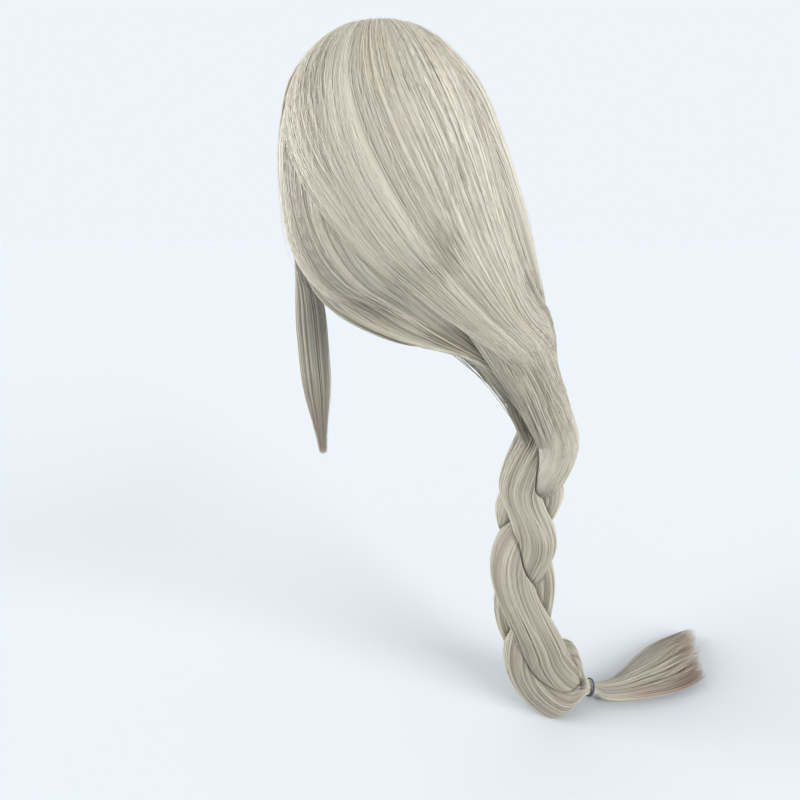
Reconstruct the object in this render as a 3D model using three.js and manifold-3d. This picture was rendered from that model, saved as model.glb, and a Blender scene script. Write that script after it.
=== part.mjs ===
// A long costume wig whose hair is drawn over the wearer's right shoulder into one loose plait.
// Millimetres, +Z up. The wearer faces -Y and the wearer's right hand is towards -X.
// The origin is the centre of the head on the plane of the brow and the ears.
import * as THREE from "three";
import { mergeVertices } from "three/addons/utils/BufferGeometryUtils.js";
import Module from "manifold-3d";

const wasm = await Module();
wasm.setup();

// ---- Driving dimensions ----
const HEAD_HALF_WIDTH = 77;
const HEAD_HALF_LENGTH = 97;
const HEAD_TOP = 121;
const HEAD_LOW = 110;
const HEAD_SQUARENESS = 2.4;
const FRONT_RIM_Z = 40;
const NAPE_RIM_Z = -62;

const STRAP_OFF = 0.9;
const NET_LAYER = [3, 3.8];
const BAND_LAYER = [3, 4.2];
const WEFT_LAYER = [4.6, 5.4];
const HAIR_INSIDE = 6.8;
const HAIR_LOFT = [20, 19, 13];
const TOP_LAYER = 5;
const LOW_LAYER = 13;
const CROWN_SPLIT_Z = 104;
const GAP = 0.5;

const WEFT_ROWS = 8;
const ROD_SIDES = 12;

const GATHER_Z = -200;
const BRAID_TOP_Z = -207;
const MID_BRAID = 0.6;
const FIRST_CROSSING = 112;
const CROSSING_STEP = 88;
const CROSSING_GROWTH = 0.37;
const TOP_PACE = 0.4;
const LOW_FULLNESS = 1.12;
const DRAW_IN_SHARE = 0.88;
const LEAVING_PHASE = 0.46;
const PLAIT_WIDE = 16;
const PLAIT_DEEP = 13;
const STRAND_RADIUS = 24;
const PLAIT_TURN = 15;
const STRAND_GAP = 3;
const TIE_SHARE = 0.985;
const TIE_RADIUS = 8.4;
const TIE_CORD = 1.5;
const TABLE_Z = -600;

const HAIR = 0xc8c3b4;
const HAIR_LIGHT = 0xdedacb;
const HAIR_DEEP = 0x8a826f;
const HAIR_TIP = 0x8e7d6c;
const NET = 0x3a3632;
const ELASTIC = 0x1d1f24;
const SKIN_CLOTH = 0xcdb49c;
const HOOK_BLACK = 0x2a2c30;

const rad = THREE.MathUtils.degToRad;
const lerp = THREE.MathUtils.lerp;
const smooth = (x, low, high) => THREE.MathUtils.smoothstep(x, low, high);
const V = (x, y, z) => new THREE.Vector3(x, y, z);

const wig = new THREE.Group();

// ---- Mesh helpers ----
function signedVolume(points, faces) {
  let sum = 0;
  for (const [a, b, c] of faces) sum += points[a].dot(points[b].clone().cross(points[c]));
  return sum / 6;
}

// A closed geometry from points and triangles, turned to face outwards.
function closedGeometry(points, faces) {
  const outward = signedVolume(points, faces) > 0;
  const index = faces.flatMap(([a, b, c]) => (outward ? [a, b, c] : [a, c, b]));
  const geometry = new THREE.BufferGeometry().setFromPoints(points);
  geometry.setIndex(index);
  return geometry;
}

// A curved slab: two grids of points, [across][along], joined round their border.
// With wrap the first and last columns meet; with pole the last row shrinks to one point.
function slab(outer, inner, { wrap = false, pole = false } = {}) {
  const across = outer.length;
  const along = outer[0].length;
  const points = [];
  const faces = [];
  const place = (grid) =>
    grid.map((column, i) =>
      column.map((p, j) => {
        if (pole && j === along - 1 && i > 0) return -1;
        points.push(p);
        return points.length - 1;
      }),
    );
  const shared = (ids) => {
    if (pole) ids.forEach((column) => (column[along - 1] = ids[0][along - 1]));
    return ids;
  };
  const out = shared(place(outer));
  const inn = shared(place(inner));
  const quad = (a, b, c, d) => {
    if (a !== b && b !== c && a !== c) faces.push([a, b, c]);
    if (a !== c && c !== d && a !== d) faces.push([a, c, d]);
  };
  const columns = wrap ? across : across - 1;
  for (let i = 0; i < columns; i++) {
    const k = (i + 1) % across;
    for (let j = 0; j < along - 1; j++) {
      quad(out[i][j], out[k][j], out[k][j + 1], out[i][j + 1]);
      quad(inn[i][j], inn[i][j + 1], inn[k][j + 1], inn[k][j]);
    }
    quad(out[i][0], inn[i][0], inn[k][0], out[k][0]);
    if (!pole) quad(out[i][along - 1], out[k][along - 1], inn[k][along - 1], inn[i][along - 1]);
  }
  if (!wrap) {
    for (let j = 0; j < along - 1; j++) {
      quad(out[0][j], out[0][j + 1], inn[0][j + 1], inn[0][j]);
      const e = across - 1;
      quad(out[e][j], inn[e][j], inn[e][j + 1], out[e][j + 1]);
    }
  }
  return closedGeometry(points, faces);
}

// A closed rod through rings of points that all have the same count.
function rod(rings) {
  const count = rings[0].length;
  const points = rings.flat();
  const faces = [];
  for (let r = 0; r < rings.length - 1; r++) {
    for (let i = 0; i < count; i++) {
      const k = (i + 1) % count;
      const low = r * count;
      const high = low + count;
      faces.push([low + i, low + k, high + k], [low + i, high + k, high + i]);
    }
  }
  for (const [start, flip] of [[0, true], [(rings.length - 1) * count, false]]) {
    const centre = new THREE.Vector3();
    for (let i = 0; i < count; i++) centre.add(points[start + i]);
    points.push(centre.divideScalar(count));
    const hub = points.length - 1;
    for (let i = 0; i < count; i++) {
      const k = (i + 1) % count;
      faces.push(flip ? [hub, start + k, start + i] : [hub, start + i, start + k]);
    }
  }
  return closedGeometry(points, faces);
}

function toSolid(geometry) {
  const bare = geometry.clone();
  bare.deleteAttribute("normal");
  bare.deleteAttribute("uv");
  const merged = mergeVertices(bare, 1e-4);
  return new wasm.Manifold(
    new wasm.Mesh({
      numProp: 3,
      vertProperties: merged.attributes.position.array,
      triVerts: new Uint32Array(merged.index.array),
    }),
  );
}

function fromSolid(solid) {
  const mesh = solid.getMesh();
  const geometry = new THREE.BufferGeometry();
  geometry.setAttribute("position", new THREE.BufferAttribute(mesh.vertProperties, 3));
  geometry.setIndex(new THREE.BufferAttribute(mesh.triVerts, 1));
  return geometry;
}

// Everything of a geometry that is below a level plane.
function cutBelow(geometry, level) {
  const size = 1200;
  const block = new THREE.BoxGeometry(size, size, size);
  block.translate(0, 0, level + size / 2);
  return fromSolid(toSolid(geometry).subtract(toSolid(block)));
}

function add(name, geometry, color, roughness = 0.6, metalness = 0) {
  const flat = geometry.index ? geometry.toNonIndexed() : geometry;
  flat.deleteAttribute("normal");
  flat.computeVertexNormals();
  const material = new THREE.MeshStandardMaterial({ color, roughness, metalness });
  const mesh = new THREE.Mesh(flat, material);
  mesh.name = name;
  wig.add(mesh);
}

const grid = (across, along, at) =>
  Array.from({ length: across + 1 }, (_, i) =>
    Array.from({ length: along + 1 }, (_, j) => at(i / across, j / along)),
  );

// ---- The head and the cap on it ----
// The turn is an angle round the head in degrees, from the back towards the wearer's left.
function rimHeight(turn) {
  return lerp(NAPE_RIM_Z, FRONT_RIM_Z, (1 - Math.cos(rad(turn))) / 2);
}

function headPointAtHeight(turn, z, off) {
  const tall = (z > 0 ? HEAD_TOP : HEAD_LOW) + off;
  const q = HEAD_SQUARENESS;
  const k = Math.pow(Math.max(0, 1 - Math.pow(Math.abs(z) / tall, q)), 1 / q);
  const x = (HEAD_HALF_WIDTH + off) * k * Math.sin(rad(turn));
  const y = (HEAD_HALF_LENGTH + off) * k * Math.cos(rad(turn));
  return V(x, y, z);
}

// A point of the cap: rise runs from 0 on the rim to 1 at the crown.
function capPoint(turn, rise, off) {
  const rim = rimHeight(turn);
  const q = HEAD_SQUARENESS;
  const rimTall = rim > 0 ? HEAD_TOP : HEAD_LOW;
  const start = Math.sign(rim) * Math.asin(Math.pow(Math.abs(rim) / rimTall, q / 2));
  const tilt = lerp(start, Math.PI / 2, rise);
  const tall = (tilt > 0 ? HEAD_TOP : HEAD_LOW) + off;
  const z = Math.sign(tilt) * tall * Math.pow(Math.abs(Math.sin(tilt)), 2 / q);
  const k = Math.pow(Math.abs(Math.cos(tilt)), 2 / q);
  const x = (HEAD_HALF_WIDTH + off) * k * Math.sin(rad(turn));
  const y = (HEAD_HALF_LENGTH + off) * k * Math.cos(rad(turn));
  return V(x, y, z);
}

function capPatch(turns, rises, layer, across, along, options) {
  const at = (off) => (u, v) =>
    capPoint(lerp(turns[0], turns[1], u), lerp(rises[0], rises[1], v), off);
  return slab(grid(across, along, at(layer[1])), grid(across, along, at(layer[0])), options);
}

function buildCap() {
  const panels = [
    ["net_back_left", [20.5, 58]],
    ["net_back_centre", [-19.5, 19.5]],
    ["net_back_right", [-58, -20.5]],
    ["net_side_left", [59, 126]],
    ["net_side_right", [-126, -59]],
    ["net_front", [127, 233]],
  ];
  for (const [name, turns] of panels) {
    const across = Math.round((turns[1] - turns[0]) / 9);
    add(name, capPatch(turns, [0.075, 0.7], NET_LAYER, across, 5), NET);
  }
  const crown = (off) => (u, v) => capPoint(360 * u * (23 / 24), lerp(0.71, 1, v), off);
  const disc = slab(grid(23, 4, crown(NET_LAYER[1])), grid(23, 4, crown(NET_LAYER[0])), {
    wrap: true,
    pole: true,
  });
  add("crown_net", disc, NET);
  add("parting_patch", capPatch([150, 210], [0.3, 0.62], WEFT_LAYER, 6, 3), SKIN_CLOTH);
  add("front_band", capPatch([112, 248], [0, 0.07], BAND_LAYER, 16, 1), NET);
  add("nape_band", capPatch([-110, 110], [0, 0.07], BAND_LAYER, 20, 1), NET);
  for (let row = 0; row < WEFT_ROWS; row++) {
    const rise = 0.1 + row * 0.075;
    const reach = lerp(82, 96, row / WEFT_ROWS);
    const strip = capPatch([-reach, reach], [rise, rise + 0.018], WEFT_LAYER, 14, 1);
    add("weft_row_" + (row + 1), strip, HAIR_DEEP);
  }
}

// A tongue of cap cloth before each ear, with a bendable stay sewn on it.
const TAB_TURN = 98;
const TAB_DROP = 24;

function tabPiece(side, halfWidth, layer, top, bottom) {
  const at = (off) => (u, v) => {
    const taper = Math.sqrt(Math.max(0.15, 1 - Math.pow(v, 3)));
    const spread = (halfWidth * taper * lerp(-1, 1, u)) / HEAD_HALF_LENGTH;
    const turn = TAB_TURN + THREE.MathUtils.radToDeg(spread);
    const z = rimHeight(turn) - lerp(top, bottom, v);
    return headPointAtHeight(side * turn, z, off);
  };
  return slab(grid(3, 4, at(layer[1])), grid(3, 4, at(layer[0])));
}

function buildEarTabs() {
  for (const [word, side] of [["left", 1], ["right", -1]]) {
    add("ear_tab_" + word, tabPiece(side, 12, NET_LAYER, 2.2, TAB_DROP), NET);
    add("ear_stay_" + word, tabPiece(side, 3, [4.2, 5], 3, TAB_DROP - 4), ELASTIC, 0.4);
  }
}

// Inside the nape: a pocketed tape, a hook that moves along it, and the elastic that the hook ends.
const ADJUSTER_Z = -40;
const ADJUSTER_TALL = 8;

function circleThrough(a, b, c) {
  const d = 2 * (a.x * (b.y - c.y) + b.x * (c.y - a.y) + c.x * (a.y - b.y));
  const aa = a.x * a.x + a.y * a.y;
  const bb = b.x * b.x + b.y * b.y;
  const cc = c.x * c.x + c.y * c.y;
  const x = (aa * (b.y - c.y) + bb * (c.y - a.y) + cc * (a.y - b.y)) / d;
  const y = (aa * (c.x - b.x) + bb * (a.x - c.x) + cc * (b.x - a.x)) / d;
  return { x, y, r: Math.hypot(a.x - x, a.y - y) };
}

// The upright axis that the left hook turns about; the right one mirrors it.
const adjusterCircle = circleThrough(
  headPointAtHeight(3, ADJUSTER_Z, STRAP_OFF),
  headPointAtHeight(22, ADJUSTER_Z, STRAP_OFF),
  headPointAtHeight(44, ADJUSTER_Z, STRAP_OFF),
);

function arcStrip(side, fromMm, toMm, depths, tall, across) {
  const { x, y, r } = adjusterCircle;
  const start = Math.asin(-x / r);
  const at = (depth) => (u, v) => {
    const angle = start + lerp(fromMm, toMm, u) / r;
    const px = x + (r - depth) * Math.sin(angle);
    const py = y + (r - depth) * Math.cos(angle);
    return V(side * px, py, ADJUSTER_Z + lerp(-tall / 2, tall / 2, v));
  };
  return slab(grid(across, 1, at(depths[0])), grid(across, 1, at(depths[1])));
}

function buildAdjusters() {
  for (const [word, side] of [["left", 1], ["right", -1]]) {
    add("pocket_tape_" + word, arcStrip(side, 3, 39, [0, 0.6], ADJUSTER_TALL, 8), ELASTIC);
    add("adjuster_hook_" + word, arcStrip(side, 24, 33, [1, 1.8], 6, 3), HOOK_BLACK, 0.4);
    add("adjuster_strap_" + word, arcStrip(side, 33.5, 62, [1, 1.8], ADJUSTER_TALL - 1, 6), ELASTIC);
  }
}

// ---- Hair on the head ----
// How far a point is out from the head, as a share: 1 lies on the surface that is off outside it.
function headShare(p, off) {
  const q = HEAD_SQUARENESS;
  const tall = (p.z > 0 ? HEAD_TOP : HEAD_LOW) + off[2];
  const flat = Math.hypot(p.x / (HEAD_HALF_WIDTH + off[0]), p.y / (HEAD_HALF_LENGTH + off[1]));
  return Math.pow(Math.pow(flat, q) + Math.pow(Math.abs(p.z) / tall, q), 1 / q);
}

function pushedOut(p, off) {
  const share = headShare(p, off);
  return share < 1 ? p.clone().divideScalar(share) : p;
}

const CAP_OFF = [HAIR_INSIDE, HAIR_INSIDE, HAIR_INSIDE];

// Flow lines of the outer hair, each from the crown down to the gather on the right shoulder.
const flow = (...points) => new THREE.CatmullRomCurve3(points.map((p) => V(...p)));
const BACK_FLOW = [
  flow([40, 8, 128], [78, 12, 96], [92, 10, 40], [93, 8, -25], [80, 26, -78], [49, 50, -113],
    [-8, 62, -139], [-75, 50, -158], [-136, 22, -197]),
  flow([22, 44, 122], [40, 88, 60], [36, 104, 0], [8, 98, -62], [-38, 76, -112], [-98, 52, -158],
    [-146, 31, -198]),
  flow([6, 50, 124], [4, 98, 63], [-14, 108, 4], [-48, 88, -57], [-94, 62, -116], [-133, 42, -160],
    [-160, 27, -199]),
  flow([-10, 47, 125], [-38, 90, 65], [-72, 80, 7], [-106, 54, -57], [-137, 34, -120],
    [-159, 22, -160], [-178, 13, -200]),
  flow([-34, 30, 124], [-78, 40, 88], [-107, 30, 38], [-130, 16, -14], [-151, 6, -76],
    [-168, -2, -135], [-189, -10, -200]),
  flow([-36, -12, 124], [-80, -20, 94], [-108, -26, 47], [-126, -30, -5], [-144, -34, -66],
    [-160, -36, -132], [-180, -34, -200]),
];
const RIGHT_FLOW = [
  flow([-38, -20, 124], [-76, -30, 92], [-103, -38, 47], [-120, -42, -5], [-138, -44, -66],
    [-153, -44, -132], [-168, -40, -200]),
  flow([-34, -42, 118], [-64, -58, 80], [-80, -66, 38], [-92, -68, -10], [-112, -62, -72],
    [-134, -54, -136], [-156, -40, -200]),
  flow([-30, -62, 110], [-54, -80, 70], [-66, -86, 30], [-76, -84, -15], [-98, -72, -76],
    [-124, -56, -138], [-144, -32, -200]),
];
const LEFT_FLOW = [
  flow([34, -58, 112], [56, -76, 74], [68, -80, 32], [72, -80, 0], [74, -76, -40], [76, -70, -72]),
  flow([42, -34, 120], [72, -44, 84], [84, -48, 40], [87, -50, 0], [86, -52, -40], [86, -52, -72]),
  flow([44, -4, 126], [80, -2, 92], [93, -4, 45], [95, -8, 0], [93, -22, -40], [91, -32, -72]),
];

// A sheet of hair between two depths under the surface that the flow lines span.
function hairSheet(flows, { spread = [0, 1], run = [0, 1], depths, swell = 0, across = 7, along = 16 }) {
  const surface = (u, t) => {
    const row = new THREE.CatmullRomCurve3(flows.map((f) => f.getPoint(t)));
    return pushedOut(row.getPoint(u), HAIR_LOFT);
  };
  const step = 0.01;
  const at = (depth) => (a, b) => {
    const u = lerp(spread[0], spread[1], a);
    const t = lerp(run[0], run[1], b);
    const p = surface(u, t);
    const du = surface(Math.min(1, u + step), t).sub(surface(Math.max(0, u - step), t));
    const dt = surface(u, Math.min(1, t + step)).sub(surface(u, Math.max(0, t - step)));
    const inward = du.cross(dt).normalize();
    const grow = depth === depths[1] ? swell * smooth(t, 0.75, 1) : 0;
    const placed = pushedOut(p.addScaledVector(inward, depth + grow), CAP_OFF);
    placed.z = Math.max(placed.z, GATHER_Z);
    return placed;
  };
  return slab(grid(across, along, at(depths[0])), grid(across, along, at(depths[1])));
}

function buildCrownHair() {
  const profile = [];
  const steps = 7;
  const outerTop = HEAD_TOP + HAIR_LOFT[2];
  const innerTop = HEAD_TOP + HAIR_INSIDE;
  const q = HEAD_SQUARENESS;
  const low = CROWN_SPLIT_Z + GAP;
  const radiusAt = (z, top, base) => base * Math.pow(Math.max(0, 1 - Math.pow(z / top, q)), 1 / q);
  const heights = (top) =>
    Array.from({ length: steps + 1 }, (_, i) => low + (top - low) * Math.sin((i / steps) * (Math.PI / 2)));
  const outerBase = HEAD_HALF_LENGTH + HAIR_LOFT[1];
  const innerBase = HEAD_HALF_LENGTH + HAIR_INSIDE;
  for (const z of heights(innerTop).reverse()) profile.push([radiusAt(z, innerTop, innerBase), z]);
  for (const z of heights(outerTop)) profile.push([radiusAt(z, outerTop, outerBase), z]);
  profile[0][0] = 0;
  profile[profile.length - 1][0] = 0;
  const points = profile.map(([x, y]) => new THREE.Vector2(x, y));
  const lathe = new THREE.LatheGeometry(points, 24);
  lathe.rotateX(Math.PI / 2);
  const narrow = (HEAD_HALF_WIDTH + HAIR_LOFT[0]) / outerBase;
  lathe.scale(narrow, 1, 1);
  add("crown_hair", solidFaced(lathe), HAIR_LIGHT);
}

// A geometry with its shared corners merged, its empty faces dropped and its faces turned outwards.
function solidFaced(geometry) {
  const bare = geometry.clone();
  bare.deleteAttribute("normal");
  bare.deleteAttribute("uv");
  const merged = mergeVertices(bare, 1e-4);
  const position = merged.attributes.position;
  const points = Array.from({ length: position.count }, (_, i) =>
    new THREE.Vector3().fromBufferAttribute(position, i),
  );
  const faces = [];
  for (let i = 0; i < merged.index.count; i += 3) {
    const [a, b, c] = [0, 1, 2].map((k) => merged.index.getX(i + k));
    if (a !== b && b !== c && a !== c) faces.push([a, b, c]);
  }
  return closedGeometry(points, faces);
}

function buildHeadHair() {
  const below = (geometry) => cutBelow(geometry, CROWN_SPLIT_Z);
  const top = [0, TOP_LAYER];
  const low = [TOP_LAYER + 1, LOW_LAYER];
  const outer = hairSheet(BACK_FLOW, { spread: [0, 0.62], depths: top, across: 14 });
  add("back_fall", below(outer), HAIR);
  const right = hairSheet(BACK_FLOW, { spread: [0.63, 0.99], depths: top, across: 6 });
  add("side_fall_right", below(right), HAIR_LIGHT);
  const nape = hairSheet(BACK_FLOW, { spread: [0, 0.62], run: [0.375, 1], depths: low, swell: 5, across: 14, along: 10 });
  add("nape_layer", nape, HAIR);
  const under = hairSheet(BACK_FLOW, { spread: [0.63, 0.99], run: [0.375, 1], depths: low, across: 6, along: 10 });
  add("under_layer", under, HAIR_DEEP);
  const lock = hairSheet(RIGHT_FLOW, { spread: [0.03, 1], depths: [0, 9], across: 6, along: 14 });
  add("front_fall_right", below(lock), HAIR);
  const left = hairSheet(LEFT_FLOW, { spread: [0.02, 0.98], depths: [0, 9], across: 5, along: 9 });
  add("side_hair_left", below(left), HAIR_LIGHT);
}

// The fringe: three tapering locks over the brow.
function buildFringe() {
  const locks = [
    ["fringe_left", 144, 163, 8, 4],
    ["fringe_centre", 165, 196, -6, 5],
    ["fringe_right", 198, 211, 2, 4],
  ];
  for (const [name, from, to, tipZ, across] of locks) {
    const at = (off) => (u, v) => {
      const middle = (from + to) / 2;
      const z = lerp(CROWN_SPLIT_Z - GAP, tipZ, v);
      const taper = lerp(1, 0.35, smooth(v, 0.45, 1));
      const turn = middle + ((to - from) / 2) * lerp(-1, 1, u) * taper;
      return headPointAtHeight(turn, z, off);
    };
    add(name, slab(grid(across, 6, at(HAIR_LOFT[2])), grid(across, 6, at(HAIR_INSIDE))), HAIR_LIGHT);
  }
}

// The lock that hangs before the left shoulder.
const LOCK_PATH = flow([84, -50, -77], [82, -56, -120], [80, -61, -175], [77, -64, -235], [74, -66, -292]);

function buildFrontLock() {
  const steps = 10;
  const rings = [];
  for (let i = 0; i <= steps; i++) {
    const t = i / steps;
    const centre = LOCK_PATH.getPoint(t);
    const wide = lerp(12, 17, smooth(t, 0, 0.3)) * lerp(1, 0.3, smooth(t, 0.55, 1));
    const deep = lerp(20, 15, t) * lerp(1, 0.4, smooth(t, 0.55, 1));
    rings.push(
      Array.from({ length: ROD_SIDES }, (_, k) => {
        const angle = (2 * Math.PI * k) / ROD_SIDES;
        return V(centre.x + wide * Math.cos(angle), centre.y + deep * Math.sin(angle), centre.z);
      }),
    );
  }
  add("front_lock_left", rod(rings), HAIR);
}

// ---- The plait ----
const PLAIT_PATH = flow([-162, -8, BRAID_TOP_Z], [-174, -28, -262], [-167, -42, -325], [-163, -44, -370],
  [-162, -42, -420], [-164, -38, -466], [-171, -32, -508], [-180, -27, -537], [-200, -24, -560],
  [-229, -26, -577], [-256, -30, -588]);
PLAIT_PATH.arcLengthDivisions = 400;
const PLAIT_LENGTH = PLAIT_PATH.getLength();

// The plait's cross frame at a share of its length: wide points to the back, deep to the left.
function plaitFrame(share) {
  const along = PLAIT_PATH.getTangentAt(share);
  const turned = V(Math.sin(rad(PLAIT_TURN)), Math.cos(rad(PLAIT_TURN)), 0);
  const wide = turned.addScaledVector(along, -turned.dot(along)).normalize();
  const deep = wide.clone().cross(along).normalize();
  if (deep.x - deep.z < 0) deep.negate();
  return { centre: PLAIT_PATH.getPointAt(share), along, wide, deep };
}

// How full the plait is: slimmer at the gather, fullest low down and drawn in to the tie.
function plaitFullness(share) {
  const loose = lerp(0.86, 1, smooth(share, 0, 0.12)) * lerp(1, LOW_FULLNESS, smooth(share, 0.62, 0.8));
  return lerp(loose, TIE_RADIUS / (STRAND_RADIUS + PLAIT_WIDE), smooth(share, DRAW_IN_SHARE, TIE_SHARE));
}

// Crossings passed by a point of the plait: they come closer together at first than further down.
// Above the first one the strands hardly turn about each other.
function crossings(share) {
  const past = (share * PLAIT_LENGTH - FIRST_CROSSING) / CROSSING_STEP;
  return past > 0 ? Math.log1p(past * CROSSING_GROWTH) / CROSSING_GROWTH : past * TOP_PACE;
}

function strandPlace(strand, share, full) {
  const phase = 2 * Math.PI * ((crossings(share) + strand) / 3 + LEAVING_PHASE);
  return new THREE.Vector2(PLAIT_WIDE * full * Math.sin(phase), PLAIT_DEEP * full * Math.sin(2 * phase));
}

// One strand's section: a circle cut back to halfway to each of the other two strands.
function strandRing(strand, share) {
  const full = plaitFullness(share);
  const { centre, wide, deep } = plaitFrame(share);
  const own = strandPlace(strand, share, full);
  const others = [1, 2].map((k) => strandPlace((strand + k) % 3, share, full));
  return Array.from({ length: ROD_SIDES }, (_, i) => {
    const angle = (2 * Math.PI * i) / ROD_SIDES;
    const ray = new THREE.Vector2(Math.cos(angle), Math.sin(angle));
    let reach = STRAND_RADIUS * full;
    for (const other of others) {
      const apart = other.clone().sub(own);
      const half = apart.length() / 2 - STRAND_GAP * full;
      const facing = ray.dot(apart.normalize());
      if (facing > 0.02) reach = Math.min(reach, half / facing);
    }
    const spot = own.clone().addScaledVector(ray, Math.max(reach, 0.6));
    const p = centre.clone().addScaledVector(wide, spot.x).addScaledVector(deep, spot.y);
    p.z = THREE.MathUtils.clamp(p.z, TABLE_Z + 1, BRAID_TOP_Z);
    return p;
  });
}

function strandPiece(strand, from, to, steps) {
  const rings = Array.from({ length: steps + 1 }, (_, i) => strandRing(strand, lerp(from, to, i / steps)));
  return rod(rings);
}

function buildPlait() {
  const letters = ["a", "b", "c"];
  const gap = 1.5 / PLAIT_LENGTH;
  letters.forEach((letter, k) => {
    add("braid_upper_" + letter, strandPiece(k, 0, MID_BRAID - gap, 28), [HAIR, HAIR_LIGHT, HAIR_DEEP][k]);
    add("braid_lower_" + letter, strandPiece(k, MID_BRAID + gap, 1, 20), [HAIR, HAIR_LIGHT, HAIR_DEEP][k]);
  });
}

// The elastic that ties the plait off.
function buildTie() {
  const { centre, along } = plaitFrame(TIE_SHARE);
  const ring = new THREE.TorusGeometry(TIE_RADIUS + TIE_CORD + 0.6, TIE_CORD, 6, 20);
  const turn = new THREE.Quaternion().setFromUnitVectors(V(0, 0, 1), along);
  ring.applyQuaternion(turn);
  ring.translate(centre.x, centre.y, centre.z);
  add("hair_tie", solidFaced(ring), ELASTIC, 0.8);
}

// ---- The tail past the tie ----
const TAIL_PATH = flow([-259, -29, -590], [-282, -28, -590], [-312, -35, -590], [-355, -60, -591],
  [-394, -90, -592], [-428, -126, -593]);

function tailRing(lane, share) {
  const centre = TAIL_PATH.getPointAt(share);
  const along = TAIL_PATH.getTangentAt(share);
  const across = V(along.y, -along.x, 0).normalize();
  const half = lerp(9, 37, smooth(share, -0.1, 0.4)) * lerp(1, 0.85, smooth(share, 0.75, 1));
  const lane3 = (2 * half) / 3;
  const tall = lerp(8, 11, smooth(share, 0, 0.3)) * lerp(1, 0.45, smooth(share, 0.6, 1));
  const wide = lane3 / 2 - 0.25;
  return Array.from({ length: 8 }, (_, k) => {
    const angle = (2 * Math.PI * k) / 8;
    const side = lane * lane3 + wide * Math.cos(angle);
    const p = centre.clone().addScaledVector(across, side);
    p.z = Math.max(p.z + tall * Math.sin(angle), TABLE_Z + 1);
    return p;
  });
}

function buildTail() {
  const tufts = [
    ["tail_tuft_near", 1, 0.9],
    ["tail_tuft_middle", 0, 0.97],
    ["tail_tuft_far", -1, 1],
  ];
  for (const [name, lane, reach] of tufts) {
    const rings = Array.from({ length: 11 }, (_, i) => tailRing(lane, (reach * i) / 10));
    add(name, rod(rings), HAIR_TIP);
  }
}

buildCap();
buildEarTabs();
buildAdjusters();
buildCrownHair();
buildHeadHair();
buildFringe();
buildFrontLock();
buildPlait();
buildTie();
buildTail();

export default wig;
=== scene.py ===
"""A long ash-blonde costume wig, drawn over the wearer's right shoulder into one loose plait.

Lengths in this script are millimetres and become metres when a mesh is made.
+Z is up, the wearer faces -Y, and the wearer's right hand is towards -X.
"""

import math

import bpy
import numpy as np
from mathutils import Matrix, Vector


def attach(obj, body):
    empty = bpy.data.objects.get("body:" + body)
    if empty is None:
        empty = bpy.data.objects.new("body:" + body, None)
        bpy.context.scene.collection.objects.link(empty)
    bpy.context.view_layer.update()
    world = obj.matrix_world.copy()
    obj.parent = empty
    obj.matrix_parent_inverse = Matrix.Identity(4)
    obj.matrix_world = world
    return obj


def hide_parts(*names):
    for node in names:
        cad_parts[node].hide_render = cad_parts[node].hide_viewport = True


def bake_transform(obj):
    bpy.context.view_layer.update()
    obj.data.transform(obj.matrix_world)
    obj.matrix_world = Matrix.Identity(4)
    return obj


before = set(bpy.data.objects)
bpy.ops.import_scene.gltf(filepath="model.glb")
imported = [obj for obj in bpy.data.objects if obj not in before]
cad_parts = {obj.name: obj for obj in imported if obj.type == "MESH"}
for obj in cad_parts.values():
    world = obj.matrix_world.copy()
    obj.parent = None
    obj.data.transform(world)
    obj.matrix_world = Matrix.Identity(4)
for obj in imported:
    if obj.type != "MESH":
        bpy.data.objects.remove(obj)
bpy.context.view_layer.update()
MM = 0.001

# ---- Camera, light and floor ----
CAMERA_PLACE = (-0.016, 0.618, -0.044)
CAMERA_DOWN = 15
CAMERA_LENS = 27.8
FLOOR_Z = -0.600
PALE = (0.855, 0.910, 0.955)
FLOOR_WHITE = (0.588, 0.614, 0.636)
SKY_HEIGHTS = (0.3, 0.9)
ZENITH_LIGHT = 0.45
FLOOR_HALF = 40
# Each sun's name, power, softness in degrees, where it comes from, and colour.
SUNS = [
    ("key_sun", 3.2, 40, (-1.3, 1.15, 0.7), (1.0, 1.0, 1.0)),
    ("rim_sun", 4.2, 50, (1.9, 0.12, 0.55), (1.0, 1.0, 1.0)),
    ("front_sun", 0.7, 80, (0.3, -1.2, 0.8), (0.97, 0.99, 1.0)),
]


def set_inputs(node, **values):
    """Sets a node's sockets by their names, with _ for each space."""
    for name, value in values.items():
        node.inputs[name.replace("_", " ")].default_value = value


def new_material(name):
    material = bpy.data.materials.new(name)
    material.use_nodes = True
    nodes = material.node_tree.nodes
    return material, nodes, material.node_tree.links, nodes["Principled BSDF"]


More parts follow.
